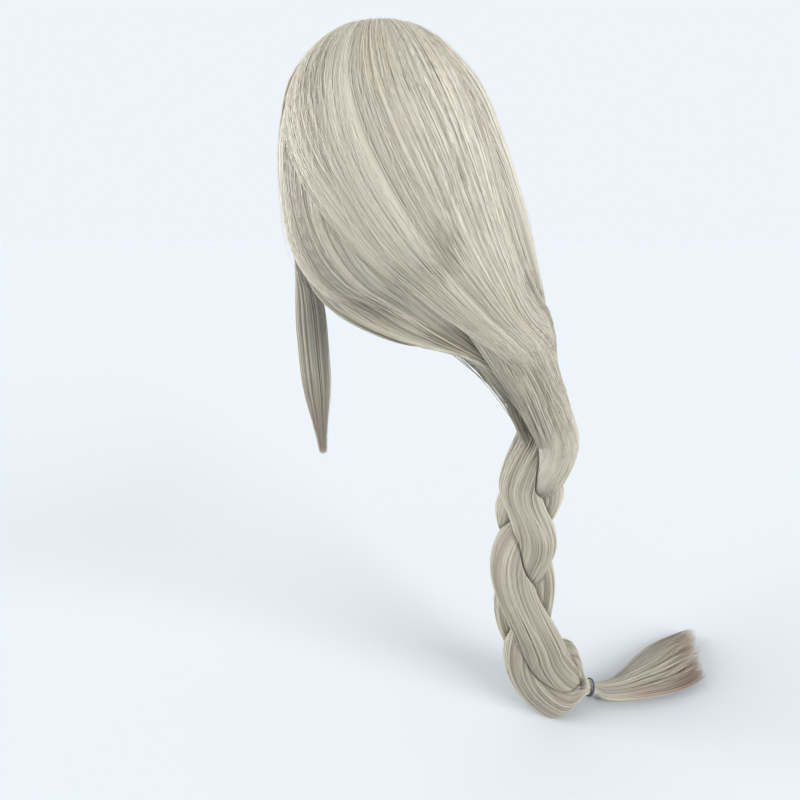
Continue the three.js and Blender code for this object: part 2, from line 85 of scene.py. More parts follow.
def build_studio():
    scene = bpy.context.scene
    data = bpy.data.cameras.new("camera")
    data.lens = CAMERA_LENS
    data.sensor_width = 36
    data.clip_start = 0.01
    data.clip_end = 200
    camera = bpy.data.objects.new("camera", data)
    camera.location = CAMERA_PLACE
    camera.rotation_euler = (math.radians(90 - CAMERA_DOWN), 0, math.pi)
    scene.collection.objects.link(camera)
    scene.camera = camera
    scene.view_settings.view_transform = "Standard"

    world = bpy.data.worlds.new("studio")
    world.use_nodes = True
    nodes, links = world.node_tree.nodes, world.node_tree.links
    background = nodes["Background"]
    place = nodes.new("ShaderNodeTexCoord")
    split = nodes.new("ShaderNodeSeparateXYZ")
    links.new(place.outputs["Generated"], split.inputs[0])
    height = nodes.new("ShaderNodeMapRange")
    set_inputs(height, From_Min=SKY_HEIGHTS[0], From_Max=SKY_HEIGHTS[1], To_Min=1.0, To_Max=ZENITH_LIGHT)
    links.new(split.outputs["Z"], height.inputs[0])
    set_inputs(background, Color=(*PALE, 1))
    links.new(height.outputs[0], background.inputs["Strength"])
    scene.world = world

    for name, power, soft, come_from, colour in SUNS:
        light = bpy.data.lights.new(name, "SUN")
        light.energy = power
        light.angle = math.radians(soft)
        light.color = colour
        sun = bpy.data.objects.new(name, light)
        toward = -np.array(come_from) / np.linalg.norm(come_from)
        sun.rotation_mode = "QUATERNION"
        sun.rotation_quaternion = Vector(toward).to_track_quat("-Z", "Y")
        scene.collection.objects.link(sun)

    floor = bpy.data.meshes.new("floor")
    corners = [(-1, -1), (1, -1), (1, 1), (-1, 1)]
    floor.from_pydata([(x * FLOOR_HALF, y * FLOOR_HALF, FLOOR_Z) for x, y in corners], [], [(0, 1, 2, 3)])
    stand = bpy.data.objects.new("floor", floor)
    scene.collection.objects.link(stand)
    material, _, _, shader = new_material("floor_white")
    set_inputs(shader, Base_Color=(*FLOOR_WHITE, 1), Roughness=0.7, Specular_IOR_Level=0.0)
    floor.materials.append(material)


build_studio()


# ---- Curves and surfaces ----
def smooth(x, low, high):
    share = np.clip((x - low) / (high - low), 0, 1)
    return share * share * (3 - 2 * share)


def lerp(a, b, share):
    return a + (b - a) * share


def unit(vectors):
    return vectors / np.maximum(np.linalg.norm(vectors, axis=-1, keepdims=True), 1e-9)


def stacked(*parts):
    """Numbers or grids side by side on a new last axis."""
    return np.stack(np.broadcast_arrays(*parts), -1)


def column(count):
    """Shares from 0 to 1, one a row."""
    return np.linspace(0, 1, count)[:, None]


def grid(counts):
    return np.meshgrid(*(np.linspace(0, 1, n) for n in counts), indexing="ij")


def spaced(count, random):
    """A random share in each of count equal steps from 0 to 1."""
    return (np.arange(count) + random.uniform(0, 1, count)) / count


def spline(points, ts):
    """Centripetal Catmull-Rom curves through points[K, ..., 3], at the shares ts[N]."""
    points = np.asarray(points, float)
    last = len(points) - 1
    x = np.clip(ts, 0, 1) * last
    i = np.minimum(x.astype(int), last - 1)
    w = (x - i).reshape((-1,) + (1,) * (points.ndim - 1))
    before, after = 2 * points[:1] - points[1:2], 2 * points[-1:] - points[-2:-1]
    padded = np.concatenate([before, points, after])
    p0, p1, p2, p3 = (padded[i + k] for k in range(4))

    def gap(a, b):
        return np.maximum(np.sum((b - a) ** 2, -1, keepdims=True) ** 0.25, 1e-3)

    d0, d1, d2 = gap(p0, p1), gap(p1, p2), gap(p2, p3)
    m1 = ((p1 - p0) / d0 - (p2 - p0) / (d0 + d1) + (p2 - p1) / d1) * d1
    m2 = ((p2 - p1) / d1 - (p3 - p1) / (d1 + d2) + (p3 - p2) / d2) * d1
    curve = p1 + m1 * w + (3 * (p2 - p1) - 2 * m1 - m2) * w**2
    return curve + (2 * (p1 - p2) + m1 + m2) * w**3


class Path:
    """A curve whose points are found by their share of its length."""

    def __init__(self, points):
        self.points = np.asarray(points, float)
        self.ts = np.linspace(0, 1, 2001)
        steps = np.linalg.norm(np.diff(spline(self.points, self.ts), axis=0), axis=1)
        self.reached = np.concatenate([[0], np.cumsum(steps)])
        self.length = self.reached[-1]

    def at(self, share):
        share = np.asarray(share, float)
        ts = np.interp(np.clip(share, 0, 1).ravel() * self.length, self.reached, self.ts)
        return spline(self.points, ts).reshape(share.shape + (3,))

    def along(self, share):
        step = 0.002
        share = np.clip(share, step, 1 - step)
        return unit(self.at(share + step) - self.at(share - step))


def noise(x, y, seed):
    """Smooth random heights from -1 to 1, one lattice cell a unit."""
    size = 256
    lattice = np.random.default_rng(seed).uniform(-1, 1, (size, size))
    x, y = np.broadcast_arrays(np.asarray(x, float), np.asarray(y, float))
    i, j = np.floor(x).astype(int), np.floor(y).astype(int)
    fx, fy = x - i, y - j
    fx, fy = fx * fx * (3 - 2 * fx), fy * fy * (3 - 2 * fy)
    low = lerp(lattice[i % size, j % size], lattice[(i + 1) % size, j % size], fx)
    high = lerp(lattice[i % size, (j + 1) % size], lattice[(i + 1) % size, (j + 1) % size], fx)
    return lerp(low, high, fy)


# ---- The head as the CAD has it, and the hair's surfaces ----
# The back sheet's flow lines are the CAD's. The right and left sheets each have one line more than the
# CAD's, and two of the left one's lie up to 14 mm from them. The CAD has no roots, and its fringe has no
# flow lines, so these are this script's own.
HEAD_HALF_WIDTH = 77
HEAD_HALF_LENGTH = 97
HEAD_TOP = 121
HEAD_LOW = 110
HEAD_SQUARENESS = 2.4
HAIR_LOFT = (20, 19, 13)
FRINGE_LOFT = (13, 13, 13)
CAP_OFF = (6.8, 6.8, 6.8)
CROWN_SHARE = 0.12
WHORL = np.array([2.0, -25.0, 131.0])


def head_share(p, off):
    tall = np.where(p[..., 2] > 0, HEAD_TOP, HEAD_LOW) + off[2]
    wide = HEAD_HALF_WIDTH + off[0]
    long = HEAD_HALF_LENGTH + off[1]
    flat = np.hypot(p[..., 0] / wide, p[..., 1] / long)
    q = HEAD_SQUARENESS
    return (flat**q + np.abs(p[..., 2] / tall) ** q) ** (1 / q)


def pushed_out(p, off):
    return p / np.clip(head_share(p, off), 1e-3, 1)[..., None]


BACK_FLOW = [
    [(40, 8, 128), (78, 12, 96), (92, 10, 40), (93, 8, -25), (80, 26, -78), (49, 50, -113),
     (-8, 62, -139), (-75, 50, -158), (-136, 22, -197)],
    [(22, 44, 122), (40, 88, 60), (36, 104, 0), (8, 98, -62), (-38, 76, -112), (-98, 52, -158),
     (-146, 31, -198)],
    [(6, 50, 124), (4, 98, 63), (-14, 108, 4), (-48, 88, -57), (-94, 62, -116), (-133, 42, -160),
     (-160, 27, -199)],
    [(-10, 47, 125), (-38, 90, 65), (-72, 80, 7), (-106, 54, -57), (-137, 34, -120),
     (-159, 22, -160), (-178, 13, -200)],
    [(-34, 30, 124), (-78, 40, 88), (-107, 30, 38), (-130, 16, -14), (-151, 6, -76),
     (-168, -2, -135), (-189, -10, -200)],
    [(-36, -12, 124), (-80, -20, 94), (-108, -26, 47), (-126, -30, -5), (-144, -34, -66),
     (-160, -36, -132), (-180, -34, -200)],
]
RIGHT_FLOW = [
    [(-34, 2, 126), (-80, 0, 94), (-108, -8, 47), (-124, -20, -5), (-142, -28, -66),
     (-157, -32, -132), (-176, -34, -200)],
    [(-38, -20, 124), (-76, -30, 92), (-103, -38, 47), (-120, -42, -5), (-138, -44, -66),
     (-153, -44, -132), (-168, -40, -200)],
    [(-34, -42, 118), (-64, -58, 80), (-80, -66, 38), (-92, -68, -10), (-112, -62, -72),
     (-134, -54, -136), (-156, -40, -200)],
    [(-30, -62, 110), (-54, -80, 70), (-66, -86, 30), (-76, -84, -15), (-98, -72, -76),
     (-124, -56, -138), (-144, -32, -200)],
]
LEFT_FLOW = [
    [(35, -70, 106), (60, -86, 66), (70, -86, 28), (74, -82, 0), (75, -77, -40), (76, -70, -72)],
    [(42, -40, 118), (70, -52, 84), (82, -56, 40), (86, -55, 0), (86, -53, -40), (86, -52, -72)],
    [(44, -4, 126), (80, -2, 92), (93, -4, 45), (95, -8, 0), (93, -22, -40), (91, -32, -72)],
    [(40, 16, 126), (80, 18, 92), (93, 16, 44), (94, 8, -2), (92, -8, -42), (90, -24, -74)],
]
FRINGE_FLOW = [
    [(-34, -78, 98), (-54, -90, 60), (-62, -90, 25), (-64, -84, -4)],
    [(-20, -90, 94), (-32, -104, 58), (-36, -106, 22), (-36, -102, -6)],
    [(2, -92, 92), (2, -110, 56), (0, -113, 18), (-4, -110, -14)],
    [(22, -90, 94), (34, -104, 58), (38, -106, 22), (36, -102, -4)],
    [(36, -78, 98), (56, -88, 60), (64, -88, 25), (66, -82, -2)],
]
# Where each sheet's hair leaves the scalp: the whorl, or a point of the parting before it.
BACK_ROOTS = [WHORL + (1, 2, 0), WHORL + (1, 3, 0), WHORL + (0, 4, 0), WHORL + (-1, 3, 0),
              WHORL + (-2, 2, 0), WHORL + (-2, 0, 0)]
RIGHT_ROOTS = [(0, -24, 131), (0, -38, 130), (1, -56, 126), (1, -76, 118)]
LEFT_ROOTS = [(0, -76, 118), (-1, -56, 126), (-2, -38, 130), (-1, -25, 131)]
FRINGE_ROOTS = [(-2, -62, 122), (-1, -72, 118), (2, -78, 115), (5, -72, 118), (6, -62, 122)]


class Sheet:
    """The surface that a row of flow lines spans, with its inward direction."""

    ACROSS = 120
    ALONG = 160

    def __init__(self, flows, roots, loft):
        ts = np.linspace(0, 1, self.ALONG + 1)
        lines = []
        for points, root in zip(flows, roots):
            own = np.vstack([np.asarray(root, float), np.asarray(points, float)])
            count = len(points)
            late = 1 + (ts - CROWN_SHARE) / (1 - CROWN_SHARE) * (count - 1)
            lines.append(spline(own, np.where(ts < CROWN_SHARE, ts / CROWN_SHARE, late) / count))
        rows = spline(np.stack(lines), np.linspace(0, 1, self.ACROSS + 1))
        self.place = pushed_out(rows, loft)
        du = np.gradient(self.place, axis=0)
        dt = np.gradient(self.place, axis=1)
        self.table = np.concatenate([self.place, unit(np.cross(du, dt))], axis=-1)

    def at(self, u, t, depth):
        """Points at a depth under the surface, kept off the cap, and the way out there."""
        x = np.clip(u, 0, 1) * self.ACROSS
        y = np.clip(t, 0, 1) * self.ALONG
        i = np.minimum(x.astype(int), self.ACROSS - 1)
        j = np.minimum(y.astype(int), self.ALONG - 1)
        fx, fy = (x - i)[..., None], (y - j)[..., None]
        near = lerp(self.table[i, j], self.table[i, j + 1], fy)
        far = lerp(self.table[i + 1, j], self.table[i + 1, j + 1], fy)
        found = lerp(near, far, fx)
        inward = unit(found[..., 3:])
        return pushed_out(found[..., :3] + inward * depth[..., None], CAP_OFF), -inward


back_sheet = Sheet(BACK_FLOW, BACK_ROOTS, HAIR_LOFT)
right_sheet = Sheet(RIGHT_FLOW, RIGHT_ROOTS, HAIR_LOFT)
left_sheet = Sheet(LEFT_FLOW, LEFT_ROOTS, HAIR_LOFT)
fringe_sheet = Sheet(FRINGE_FLOW, FRINGE_ROOTS, FRINGE_LOFT)


# ---- The plait, on the CAD's path ----
# SKIN_RADIUS is the CAD's strand radius. The drawn strands are a little fuller and lie closer together.
PLAIT_PATH = Path(
    [(-162, -8, -207), (-174, -28, -262), (-167, -42, -325), (-163, -44, -370), (-162, -42, -420),
     (-164, -38, -466), (-171, -32, -508), (-180, -27, -537), (-200, -24, -560),
     (-229, -26, -577), (-256, -30, -588)]
)
FIRST_CROSSING = 112
CROSSING_STEP = 88
CROSSING_GROWTH = 0.37
TOP_PACE = 0.4
LOW_FULLNESS = 1.12
DRAW_IN_SHARE = 0.88
TIE_SHARE = 0.985
LEAVING_PHASE = 0.46
PLAIT_WIDE = 16
PLAIT_DEEP = 13
STRAND_RADIUS = 24.3
STRAND_GAP = 0.1
PLAIT_TURN = math.radians(15)
TIE_RADIUS = 8.4
SKIN_RADIUS = 24
PACKING = 10
TABLE_Z = -600
LIE_Z = TABLE_Z + 0.8


def plait_fullness(share):
    loose = lerp(0.86, 1, smooth(share, 0, 0.12)) * lerp(1, LOW_FULLNESS, smooth(share, 0.62, 0.8))
    return lerp(loose, TIE_RADIUS / (SKIN_RADIUS + PLAIT_WIDE), smooth(share, DRAW_IN_SHARE, TIE_SHARE))


def strand_spot(strand, share, full):
    past = (share * PLAIT_PATH.length - FIRST_CROSSING) / CROSSING_STEP
    grown = np.log1p(np.maximum(past, 0) * CROSSING_GROWTH) / CROSSING_GROWTH
    passed = np.where(past > 0, grown, past * TOP_PACE)
    phase = 2 * np.pi * ((passed + strand) / 3 + LEAVING_PHASE)
    spot = [PLAIT_WIDE * full * np.sin(phase), PLAIT_DEEP * full * np.sin(2 * phase)]
    return np.stack(spot, axis=-1)


def plait_point(strand, share, angle, rho):
    """A point of a plait strand: rho 1 is on its skin, at an angle round it. With the way out."""
    share, angle, rho = np.broadcast_arrays(share, angle, rho)
    full = plait_fullness(share)
    along = PLAIT_PATH.along(share)
    turned = np.array([math.sin(PLAIT_TURN), math.cos(PLAIT_TURN), 0])
    wide = unit(turned - along * np.sum(along * turned, -1, keepdims=True))
    deep = unit(np.cross(wide, along))
    deep = deep * np.where(deep[..., 0] - deep[..., 2] < 0, -1, 1)[..., None]
    own = strand_spot(strand, share, full)
    ray = np.stack([np.cos(angle), np.sin(angle)], axis=-1)
    reach = STRAND_RADIUS * full
    packed = reach ** -float(PACKING)
    for k in (1, 2):
        apart = strand_spot((strand + k) % 3, share, full) - own
        size = np.linalg.norm(apart, axis=-1)
        facing = np.sum(ray * apart, -1) / size
        room = (size / 2 - STRAND_GAP * full) / np.maximum(facing, 0.02)
        packed = packed + np.where(facing > 0.02, np.maximum(room, 0.5) ** -float(PACKING), 0)
    spot = own + ray * (rho * packed ** (-1 / PACKING))[..., None]
    p = PLAIT_PATH.at(share) + wide * spot[..., :1] + deep * spot[..., 1:]
    p[..., 2] = np.maximum(p[..., 2], LIE_Z + 2 * (1 - rho))
    return p, unit(wide * ray[..., :1] + deep * ray[..., 1:])


def own_plait_point(strands, share, angle, rho):
    """plait_point for hairs that each follow the plait strand whose number strands has for them."""
    found = [plait_point(k, share, angle, rho) for k in range(3)]
    return [np.choose(strands[:, None], [f[part] for f in found]) for part in (0, 1)]


# ---- Meshes ----
def make_object(name, points, faces, corners_each, attributes, material):
    """A closed smooth mesh from points in mm and lists of faces, each list with one corner count."""
    mesh = bpy.data.meshes.new(name)
    mesh.vertices.add(len(points))
    mesh.vertices.foreach_set("co", (points * MM).astype(np.float32).ravel())
    loops = np.concatenate([f.ravel() for f in faces])
    counts = np.concatenate([np.full(len(f), c) for f, c in zip(faces, corners_each)])
    starts = np.concatenate([[0], np.cumsum(counts)[:-1]])
    mesh.loops.add(len(loops))
    mesh.loops.foreach_set("vertex_index", loops.astype(np.int32))
    mesh.polygons.add(len(counts))
    mesh.polygons.foreach_set("loop_start", starts.astype(np.int32))
    mesh.update(calc_edges=True)
    mesh.shade_smooth()
    for key, values in attributes.items():
        values = np.asarray(values, np.float32)
        if values.ndim == 1:
            mesh.attributes.new(key, "FLOAT", "POINT").data.foreach_set("value", values)
        else:
            made = mesh.attributes.new(key, "FLOAT_VECTOR", "POINT")
            made.data.foreach_set("vector", values.ravel())
    mesh.materials.append(material)
    made = bpy.data.objects.new(name, mesh)
    bpy.context.scene.collection.objects.link(made)
    return made


def tubes(name, path, up, radius, tone, tip, comb, material, thin=0.6):
    """Closed three-sided tapering strands. path and up are [N, M, 3]; the rest are [N, M]."""
    count, strands = path.shape[:2]
    along = unit(np.gradient(path, axis=0))
    side = unit(np.cross(along, up))
    over = np.cross(side, along)
    rings = []
    for k in range(3):
        angle = math.radians(90 + 120 * k)
        offset = side * math.cos(angle) + over * (math.sin(angle) * thin)
        rings.append(path + offset * radius[..., None])
    points = np.stack(rings, axis=2).transpose(1, 0, 2, 3).reshape(-1, 3)
    base = (np.arange(strands)[:, None] * count + np.arange(count - 1)[None]) * 3
    quads = []
    for k in range(3):
        n = (k + 1) % 3
        quads.append(np.stack([base + k, base + 3 + k, base + 3 + n, base + n], -1).reshape(-1, 4))
    first = np.arange(strands) * count * 3
    last = first + (count - 1) * 3
    caps = np.concatenate([first[:, None] + [[0, 1, 2]], last[:, None] + [[0, 2, 1]]])
    spread = [np.repeat(np.broadcast_to(v, (count, strands)).T.ravel(), 3) for v in (tone, tip, *comb)]
    attributes = {"tone": spread[0], "tip": spread[1], "comb": np.stack(spread[2:], -1)}
    return make_object(name, points, [np.concatenate(quads), caps], [4, 3], attributes, material)


def slab_mesh(name, outer, inner, attributes, material):
    """A closed slab between two [U, T, 3] grids."""
    across, along = outer.shape[:2]
    ids = np.arange(across * along).reshape(across, along)
    under = ids + across * along

    def strip(a, b, c, d):
        return np.stack([a, b, c, d], -1).reshape(-1, 4)

    quads = [
        strip(ids[:-1, :-1], ids[:-1, 1:], ids[1:, 1:], ids[1:, :-1]),
        strip(under[:-1, :-1], under[1:, :-1], under[1:, 1:], under[:-1, 1:]),
        strip(ids[:-1, 0], ids[1:, 0], under[1:, 0], under[:-1, 0]),
        strip(ids[:-1, -1], under[:-1, -1], under[1:, -1], ids[1:, -1]),
        strip(ids[0, :-1], under[0, :-1], under[0, 1:], ids[0, 1:]),
        strip(ids[-1, :-1], ids[-1, 1:], under[-1, 1:], under[-1, :-1]),
    ]
    points = np.concatenate([outer.reshape(-1, 3), inner.reshape(-1, 3)])
    both = {}
    for key, values in attributes.items():
        flat = values.reshape(across * along, -1).squeeze()
        both[key] = np.concatenate([flat, flat])
    return make_object(name, points, [np.concatenate(quads)], [4], both, material)


def rod_mesh(name, rings, attributes, material):
    """A closed rod through rings[S, A, 3]."""
    steps, sides = rings.shape[:2]
    ids = np.arange(steps * sides).reshape(steps, sides)
    after = np.roll(ids, -1, axis=1)
    quads = np.stack([ids[:-1], after[:-1], after[1:], ids[1:]], -1).reshape(-1, 4)
    hubs = [steps * sides, steps * sides + 1]
    fans = np.concatenate([
        np.stack([np.full(sides, hubs[0]), after[0], ids[0]], -1),
        np.stack([np.full(sides, hubs[1]), ids[-1], after[-1]], -1),
    ])
    points = np.concatenate([rings.reshape(-1, 3), rings[:1].mean(1), rings[-1:].mean(1)])
    whole = {}
    for key, values in attributes.items():
        flat = values.reshape(steps * sides, -1)
        ends = [values[:1].reshape(sides, -1).mean(0), values[-1:].reshape(sides, -1).mean(0)]
        whole[key] = np.concatenate([flat, np.array(ends)]).squeeze()
    return make_object(name, points, [quads, fans], [4, 3], whole, material)


# ---- Materials ----
def attribute_node(nodes, name):
    node = nodes.new("ShaderNodeAttribute")
    node.attribute_name = name
    return node


def math_node(nodes, links, operation, a, b, clamp=False):
    node = nodes.new("ShaderNodeMath")
    node.operation = operation
    node.use_clamp = clamp
    for socket, value in zip(node.inputs, (a, b)):
        if isinstance(value, (int, float)):
            socket.default_value = value
        else:
            links.new(value, socket)
    return node.outputs[0]


def ramp_node(nodes, links, factor, stops):
    node = nodes.new("ShaderNodeValToRGB")
    while len(node.color_ramp.elements) < len(stops):
        node.color_ramp.elements.new(0.5)
    for element, (place, colour) in zip(node.color_ramp.elements, stops):
        element.position = place
        element.color = (*colour, 1)
    links.new(factor, node.inputs[0])
    return node.outputs["Color"]


def streaks(nodes, links, vector, scale, seed):
    stretch = nodes.new("ShaderNodeMapping")
    set_inputs(stretch, Scale=scale, Location=(seed, 0, 0))
    links.new(vector, stretch.inputs["Vector"])
    node = nodes.new("ShaderNodeTexNoise")
    set_inputs(node, Scale=1, Detail=3)
    links.new(stretch.outputs[0], node.inputs["Vector"])
    return node.outputs["Fac"]


def gloss_node(nodes, links, factor, low, high, shader):
    """A roughness that varies with the factor."""
    node = nodes.new("ShaderNodeMapRange")
    set_inputs(node, To_Min=low, To_Max=high)
    links.new(factor, node.inputs[0])
    links.new(node.outputs[0], shader.inputs["Roughness"])


def bump_node(nodes, links, height, strength, distance, shader):
    node = nodes.new("ShaderNodeBump")
    set_inputs(node, Strength=strength, Distance=distance)
    links.new(height, node.inputs["Height"])
    links.new(node.outputs[0], shader.inputs["Normal"])


def srgb(*levels):
    """A colour written as it shows on a screen, 0 to 255, as linear light."""
    return tuple((v / 255 / 12.92) if v < 10.3 else ((v / 255 + 0.055) / 1.055) ** 2.4 for v in levels)


DARK_HAIR = srgb(137, 131, 120)
MID_HAIR = srgb(185, 180, 171)
FAIR_HAIR = srgb(207, 203, 195)
BRIGHT_HAIR = srgb(227, 224, 217)
TIP_HAIR = srgb(158, 140, 122)
COOL_TINT = srgb(233, 238, 234)
WARM_TINT = srgb(255, 244, 228)


def hair_material(name, shift=0.0):
    """Fibres whose shade runs along them in fine streaks, greyer or warmer from lock to lock."""
    material, nodes, links, shader = new_material(name)
    comb = attribute_node(nodes, "comb").outputs["Vector"]
    tone = attribute_node(nodes, "tone").outputs["Fac"]
    tip = attribute_node(nodes, "tip").outputs["Fac"]
    fine = streaks(nodes, links, comb, (1.1, 0.012, 1), 0)
    broad = streaks(nodes, links, comb, (0.11, 0.006, 1), 40)
    shade = math_node(nodes, links, "MULTIPLY_ADD", fine, 0.4)
    shade.node.inputs[2].default_value = shift - 0.2
    total = math_node(nodes, links, "ADD", shade, tone, clamp=True)
    stops = [(0.0, DARK_HAIR), (0.38, MID_HAIR), (0.62, FAIR_HAIR), (1.0, BRIGHT_HAIR)]
    colour = ramp_node(nodes, links, total, stops)
    warmth = ramp_node(nodes, links, broad, [(0.32, COOL_TINT), (0.68, WARM_TINT)])
    tint = nodes.new("ShaderNodeMix")
    tint.data_type = "RGBA"
    tint.blend_type = "MULTIPLY"
    tint.inputs[0].default_value = 1
    links.new(colour, tint.inputs[6])
    links.new(warmth, tint.inputs[7])
    ends = nodes.new("ShaderNodeMix")
    ends.data_type = "RGBA"
    links.new(tip, ends.inputs[0])
    links.new(tint.outputs[2], ends.inputs[6])
    ends.inputs[7].default_value = (*TIP_HAIR, 1)
    links.new(ends.outputs[2], shader.inputs["Base Color"])
    gloss_node(nodes, links, fine, 0.36, 0.52, shader)
    bump_node(nodes, links, fine, 0.25, 0.0004, shader)
    set_inputs(shader, Specular_IOR_Level=0.45)
    return material


# The braid fibre and the under fibre are darker copies of the hair, by their shift: painted shade on the
# plait and on the under layer.
hair = hair_material("hair_fibre")
hair_braid_painted_shade = hair_material("braid_fibre_painted_shade", shift=-0.06)
hair_under_painted_shade = hair_material("under_fibre_painted_shade", shift=-0.22)
hair_tail = hair_material("tail_fibre", shift=0.02)


def cloth_material(name, dark, light, weave, roughness=0.8):
    """Threads woven across each other, with a mottled shade."""
    material, nodes, links, shader = new_material(name)
    comb = attribute_node(nodes, "comb").outputs["Vector"]
    across = streaks(nodes, links, comb, (weave[0], weave[1], 1), 3)
    along = streaks(nodes, links, comb, (weave[1], weave[0], 1), 11)
    mixed = math_node(nodes, links, "MAXIMUM", across, along)
    colour = ramp_node(nodes, links, mixed, [(0.35, dark), (0.7, light)])
    links.new(colour, shader.inputs["Base Color"])
    set_inputs(shader, Roughness=roughness, Sheen_Weight=0.2, Specular_IOR_Level=0.3)
    bump_node(nodes, links, mixed, 0.5, 0.0002, shader)
    return material


tie_elastic = cloth_material("tie_elastic", srgb(20, 24, 30), srgb(96, 104, 118), (1.6, 0.3), 0.5)
net_thread = cloth_material("net_thread", srgb(40, 35, 31), srgb(88, 80, 72), (2.0, 0.5))
band_cloth = cloth_material("band_cloth", srgb(46, 41, 37), srgb(92, 84, 76), (1.4, 0.25))
skin_cloth = cloth_material("skin_cloth", srgb(196, 168, 142), srgb(226, 202, 178), (1.2, 0.5), 0.75)
elastic_band = cloth_material("elastic_band", srgb(20, 22, 27), srgb(58, 62, 70), (1.8, 0.12), 0.7)
weft_thread = cloth_material("weft_thread", srgb(120, 111, 96), srgb(176, 168, 150), (1.6, 0.3))


def hard_material(name, dark, light, roughness):
    """A moulded part: a faint mottle in its shade and gloss."""
    material, nodes, links, shader = new_material(name)
    place = nodes.new("ShaderNodeTexCoord")
    mottle = streaks(nodes, links, place.outputs["Object"], (900, 900, 900), 0)
    links.new(ramp_node(nodes, links, mottle, [(0.3, dark), (0.7, light)]), shader.inputs["Base Color"])
    gloss_node(nodes, links, mottle, roughness - 0.08, roughness + 0.08, shader)
    return material


stay_plastic = hard_material("stay_plastic", srgb(30, 30, 34), srgb(52, 52, 58), 0.5)
hook_plastic = hard_material("hook_plastic", srgb(30, 31, 36), srgb(54, 56, 62), 0.42)


# ---- Strands of hair ----
def lock_relief(x, y, seed):
    """How far locks stand proud, in mm, at x mm across the hair and y mm along it."""
    broad = 0.4 * noise(x / 21, y / 260, seed) + 0.09 * noise(x / 5.5, y / 200, seed + 1)
    return broad + 0.05 * noise(x / 2.3, y / 220, seed + 7)


def lock_tone(x, y, seed):
    """How fair the hair is, round 0.5, from lock to lock and from fibre to fibre."""
    broad = 0.10 * noise(x / 13, y / 340, seed + 2)
    return 0.5 + broad + 0.08 * noise(x / 3.1, y / 240, seed + 3) + 0.12 * noise(x / 1.1, y / 220, seed + 4)


ROOT_TAPER = 0.12


def strand_radius(count, sizes, tip_taper):
    """Radii [count, strands]: full in the middle, thin at the root and the tip."""
    share = column(count)
    rooted = sizes * lerp(0.25, 1, smooth(share, 0, ROOT_TAPER))
    return rooted * lerp(1, 0.3, smooth(share, 1 - tip_taper, 1))


def sheet_controls(sheet, us, ts, depths, place_mm, along_mm, seed):
    """Control points of strands on a sheet, over relief that runs along them. All are [K, M]."""
    return sheet.at(us, ts, depths - lock_relief(place_mm, ts * along_mm, seed))


def build_strands(name, controls, ups, steps, sizes, tone, tip, comb, material, tip_taper=0.25):
    """Tubes along the curves through controls[K, M, 3]."""
    ts = np.linspace(0, 1, steps)
    path = spline(controls, ts)
    up = spline(ups, ts)
    return tubes(name, path, up, strand_radius(steps, sizes, tip_taper), tone, tip, comb, material)


# Where the plait strands' skins lie, for hair that runs from the head into them.
ENTRY_SHARE = 0.05
ENTRY_REACH = (0.24, 0.52)
ENTRY_POINTS = 9
ENTRY_ANGLES = np.linspace(0, 2 * np.pi, 73)[:-1]
GATHER_CENTRE = np.array([-160.0, -3.0])


def entry_table():
    """For each whole degree round the plait's top: the outermost plait strand there, and its angle."""
    tables = [plait_point(k, ENTRY_SHARE, ENTRY_ANGLES, 1.0)[0] for k in range(3)]
    offset = np.concatenate(tables) - PLAIT_PATH.at(ENTRY_SHARE)
    heading = np.degrees(np.arctan2(offset[:, 1], offset[:, 0]))
    reach = np.hypot(offset[:, 0], offset[:, 1])
    apart = np.abs((np.arange(360)[:, None] - heading[None] + 180) % 360 - 180)
    best = np.argmax(np.where(apart < 5, reach[None], 0), axis=1)
    return best // len(ENTRY_ANGLES), ENTRY_ANGLES[best % len(ENTRY_ANGLES)]


ENTRY_STRAND, ENTRY_ANGLE = entry_table()


def plait_entry(ends, random, turned):
    """The plait strand and the angle on it that each strand of head hair runs into."""
    offset = ends[:, :2] - GATHER_CENTRE
    heading = np.degrees(np.arctan2(offset[:, 1], offset[:, 0])) + random.normal(0, 3, len(ends))
    place = np.round(heading - turned).astype(int) % 360
    return ENTRY_STRAND[place], ENTRY_ANGLE[place] + random.normal(0, 0.1, len(ends))


def into_plait(controls, ups, ends, random, rho, turned):
    """Lengthens strands that stop short of the gather, so that they run on in the plait."""
    strand, angle = plait_entry(ends, random, turned)
    start = random.uniform(ENTRY_SHARE, ENTRY_SHARE + 0.07, len(ends))
    stop = random.uniform(*ENTRY_REACH, len(ends))
    for done in np.linspace(0, 1, ENTRY_POINTS):
        share, sink = lerp(start, stop, done), rho - 0.16 * smooth(done, 0.55, 1)
        spot, out = own_plait_point(strand, share, angle, sink)
        controls = np.concatenate([controls, spot[None]])
        ups = np.concatenate([ups, out[None]])
    return controls, ups


def comb_fields(u, across_mm, steps, along_mm, random):
    """The shader's coordinates along a strand: millimetres across, along, and a random place."""
    along = np.linspace(0, along_mm, steps)[:, None] * np.ones((1, len(u)))
    across = np.broadcast_to(u * across_mm + random.uniform(0, 600, len(u)), along.shape)
    return across, along, np.zeros_like(along)


def main_low(t):
    """Where the main fall's lower edge is across the back sheet: it sweeps over the nape hair."""
    return 0.2 * smooth(t, 0.12, 0.62) + 0.09 * smooth(t, 0.55, 0.95)


def main_high(t):
    """Where the main fall's right edge is: behind the side hair at first, closing over it low down."""
    reached = [0.76, 0.735, 0.702, 0.683, 0.686, 0.716, 0.768, 0.828, 0.885]
    return np.interp(t, [0.3, 0.4, 0.48, 0.57, 0.65, 0.73, 0.8, 0.87, 0.95], reached)


BACK_ACROSS = 300
MAIN_ACROSS = 190
RIGHT_ACROSS = 120
LEFT_ACROSS = 110
LEFT_LENGTH = 460
FRINGE_ACROSS = 140
FRINGE_LENGTH = 150
SHEET_ALONG = 480
FALL_LENGTH = 560
FALL_STEPS = 54
GATHER_SHARE = 0.945
ROOT_SINK = 4


def main_flow(spread, t):
    return lerp(main_low(t), main_high(t), spread)


def own_flow(spread, t):
    return spread + 0 * t


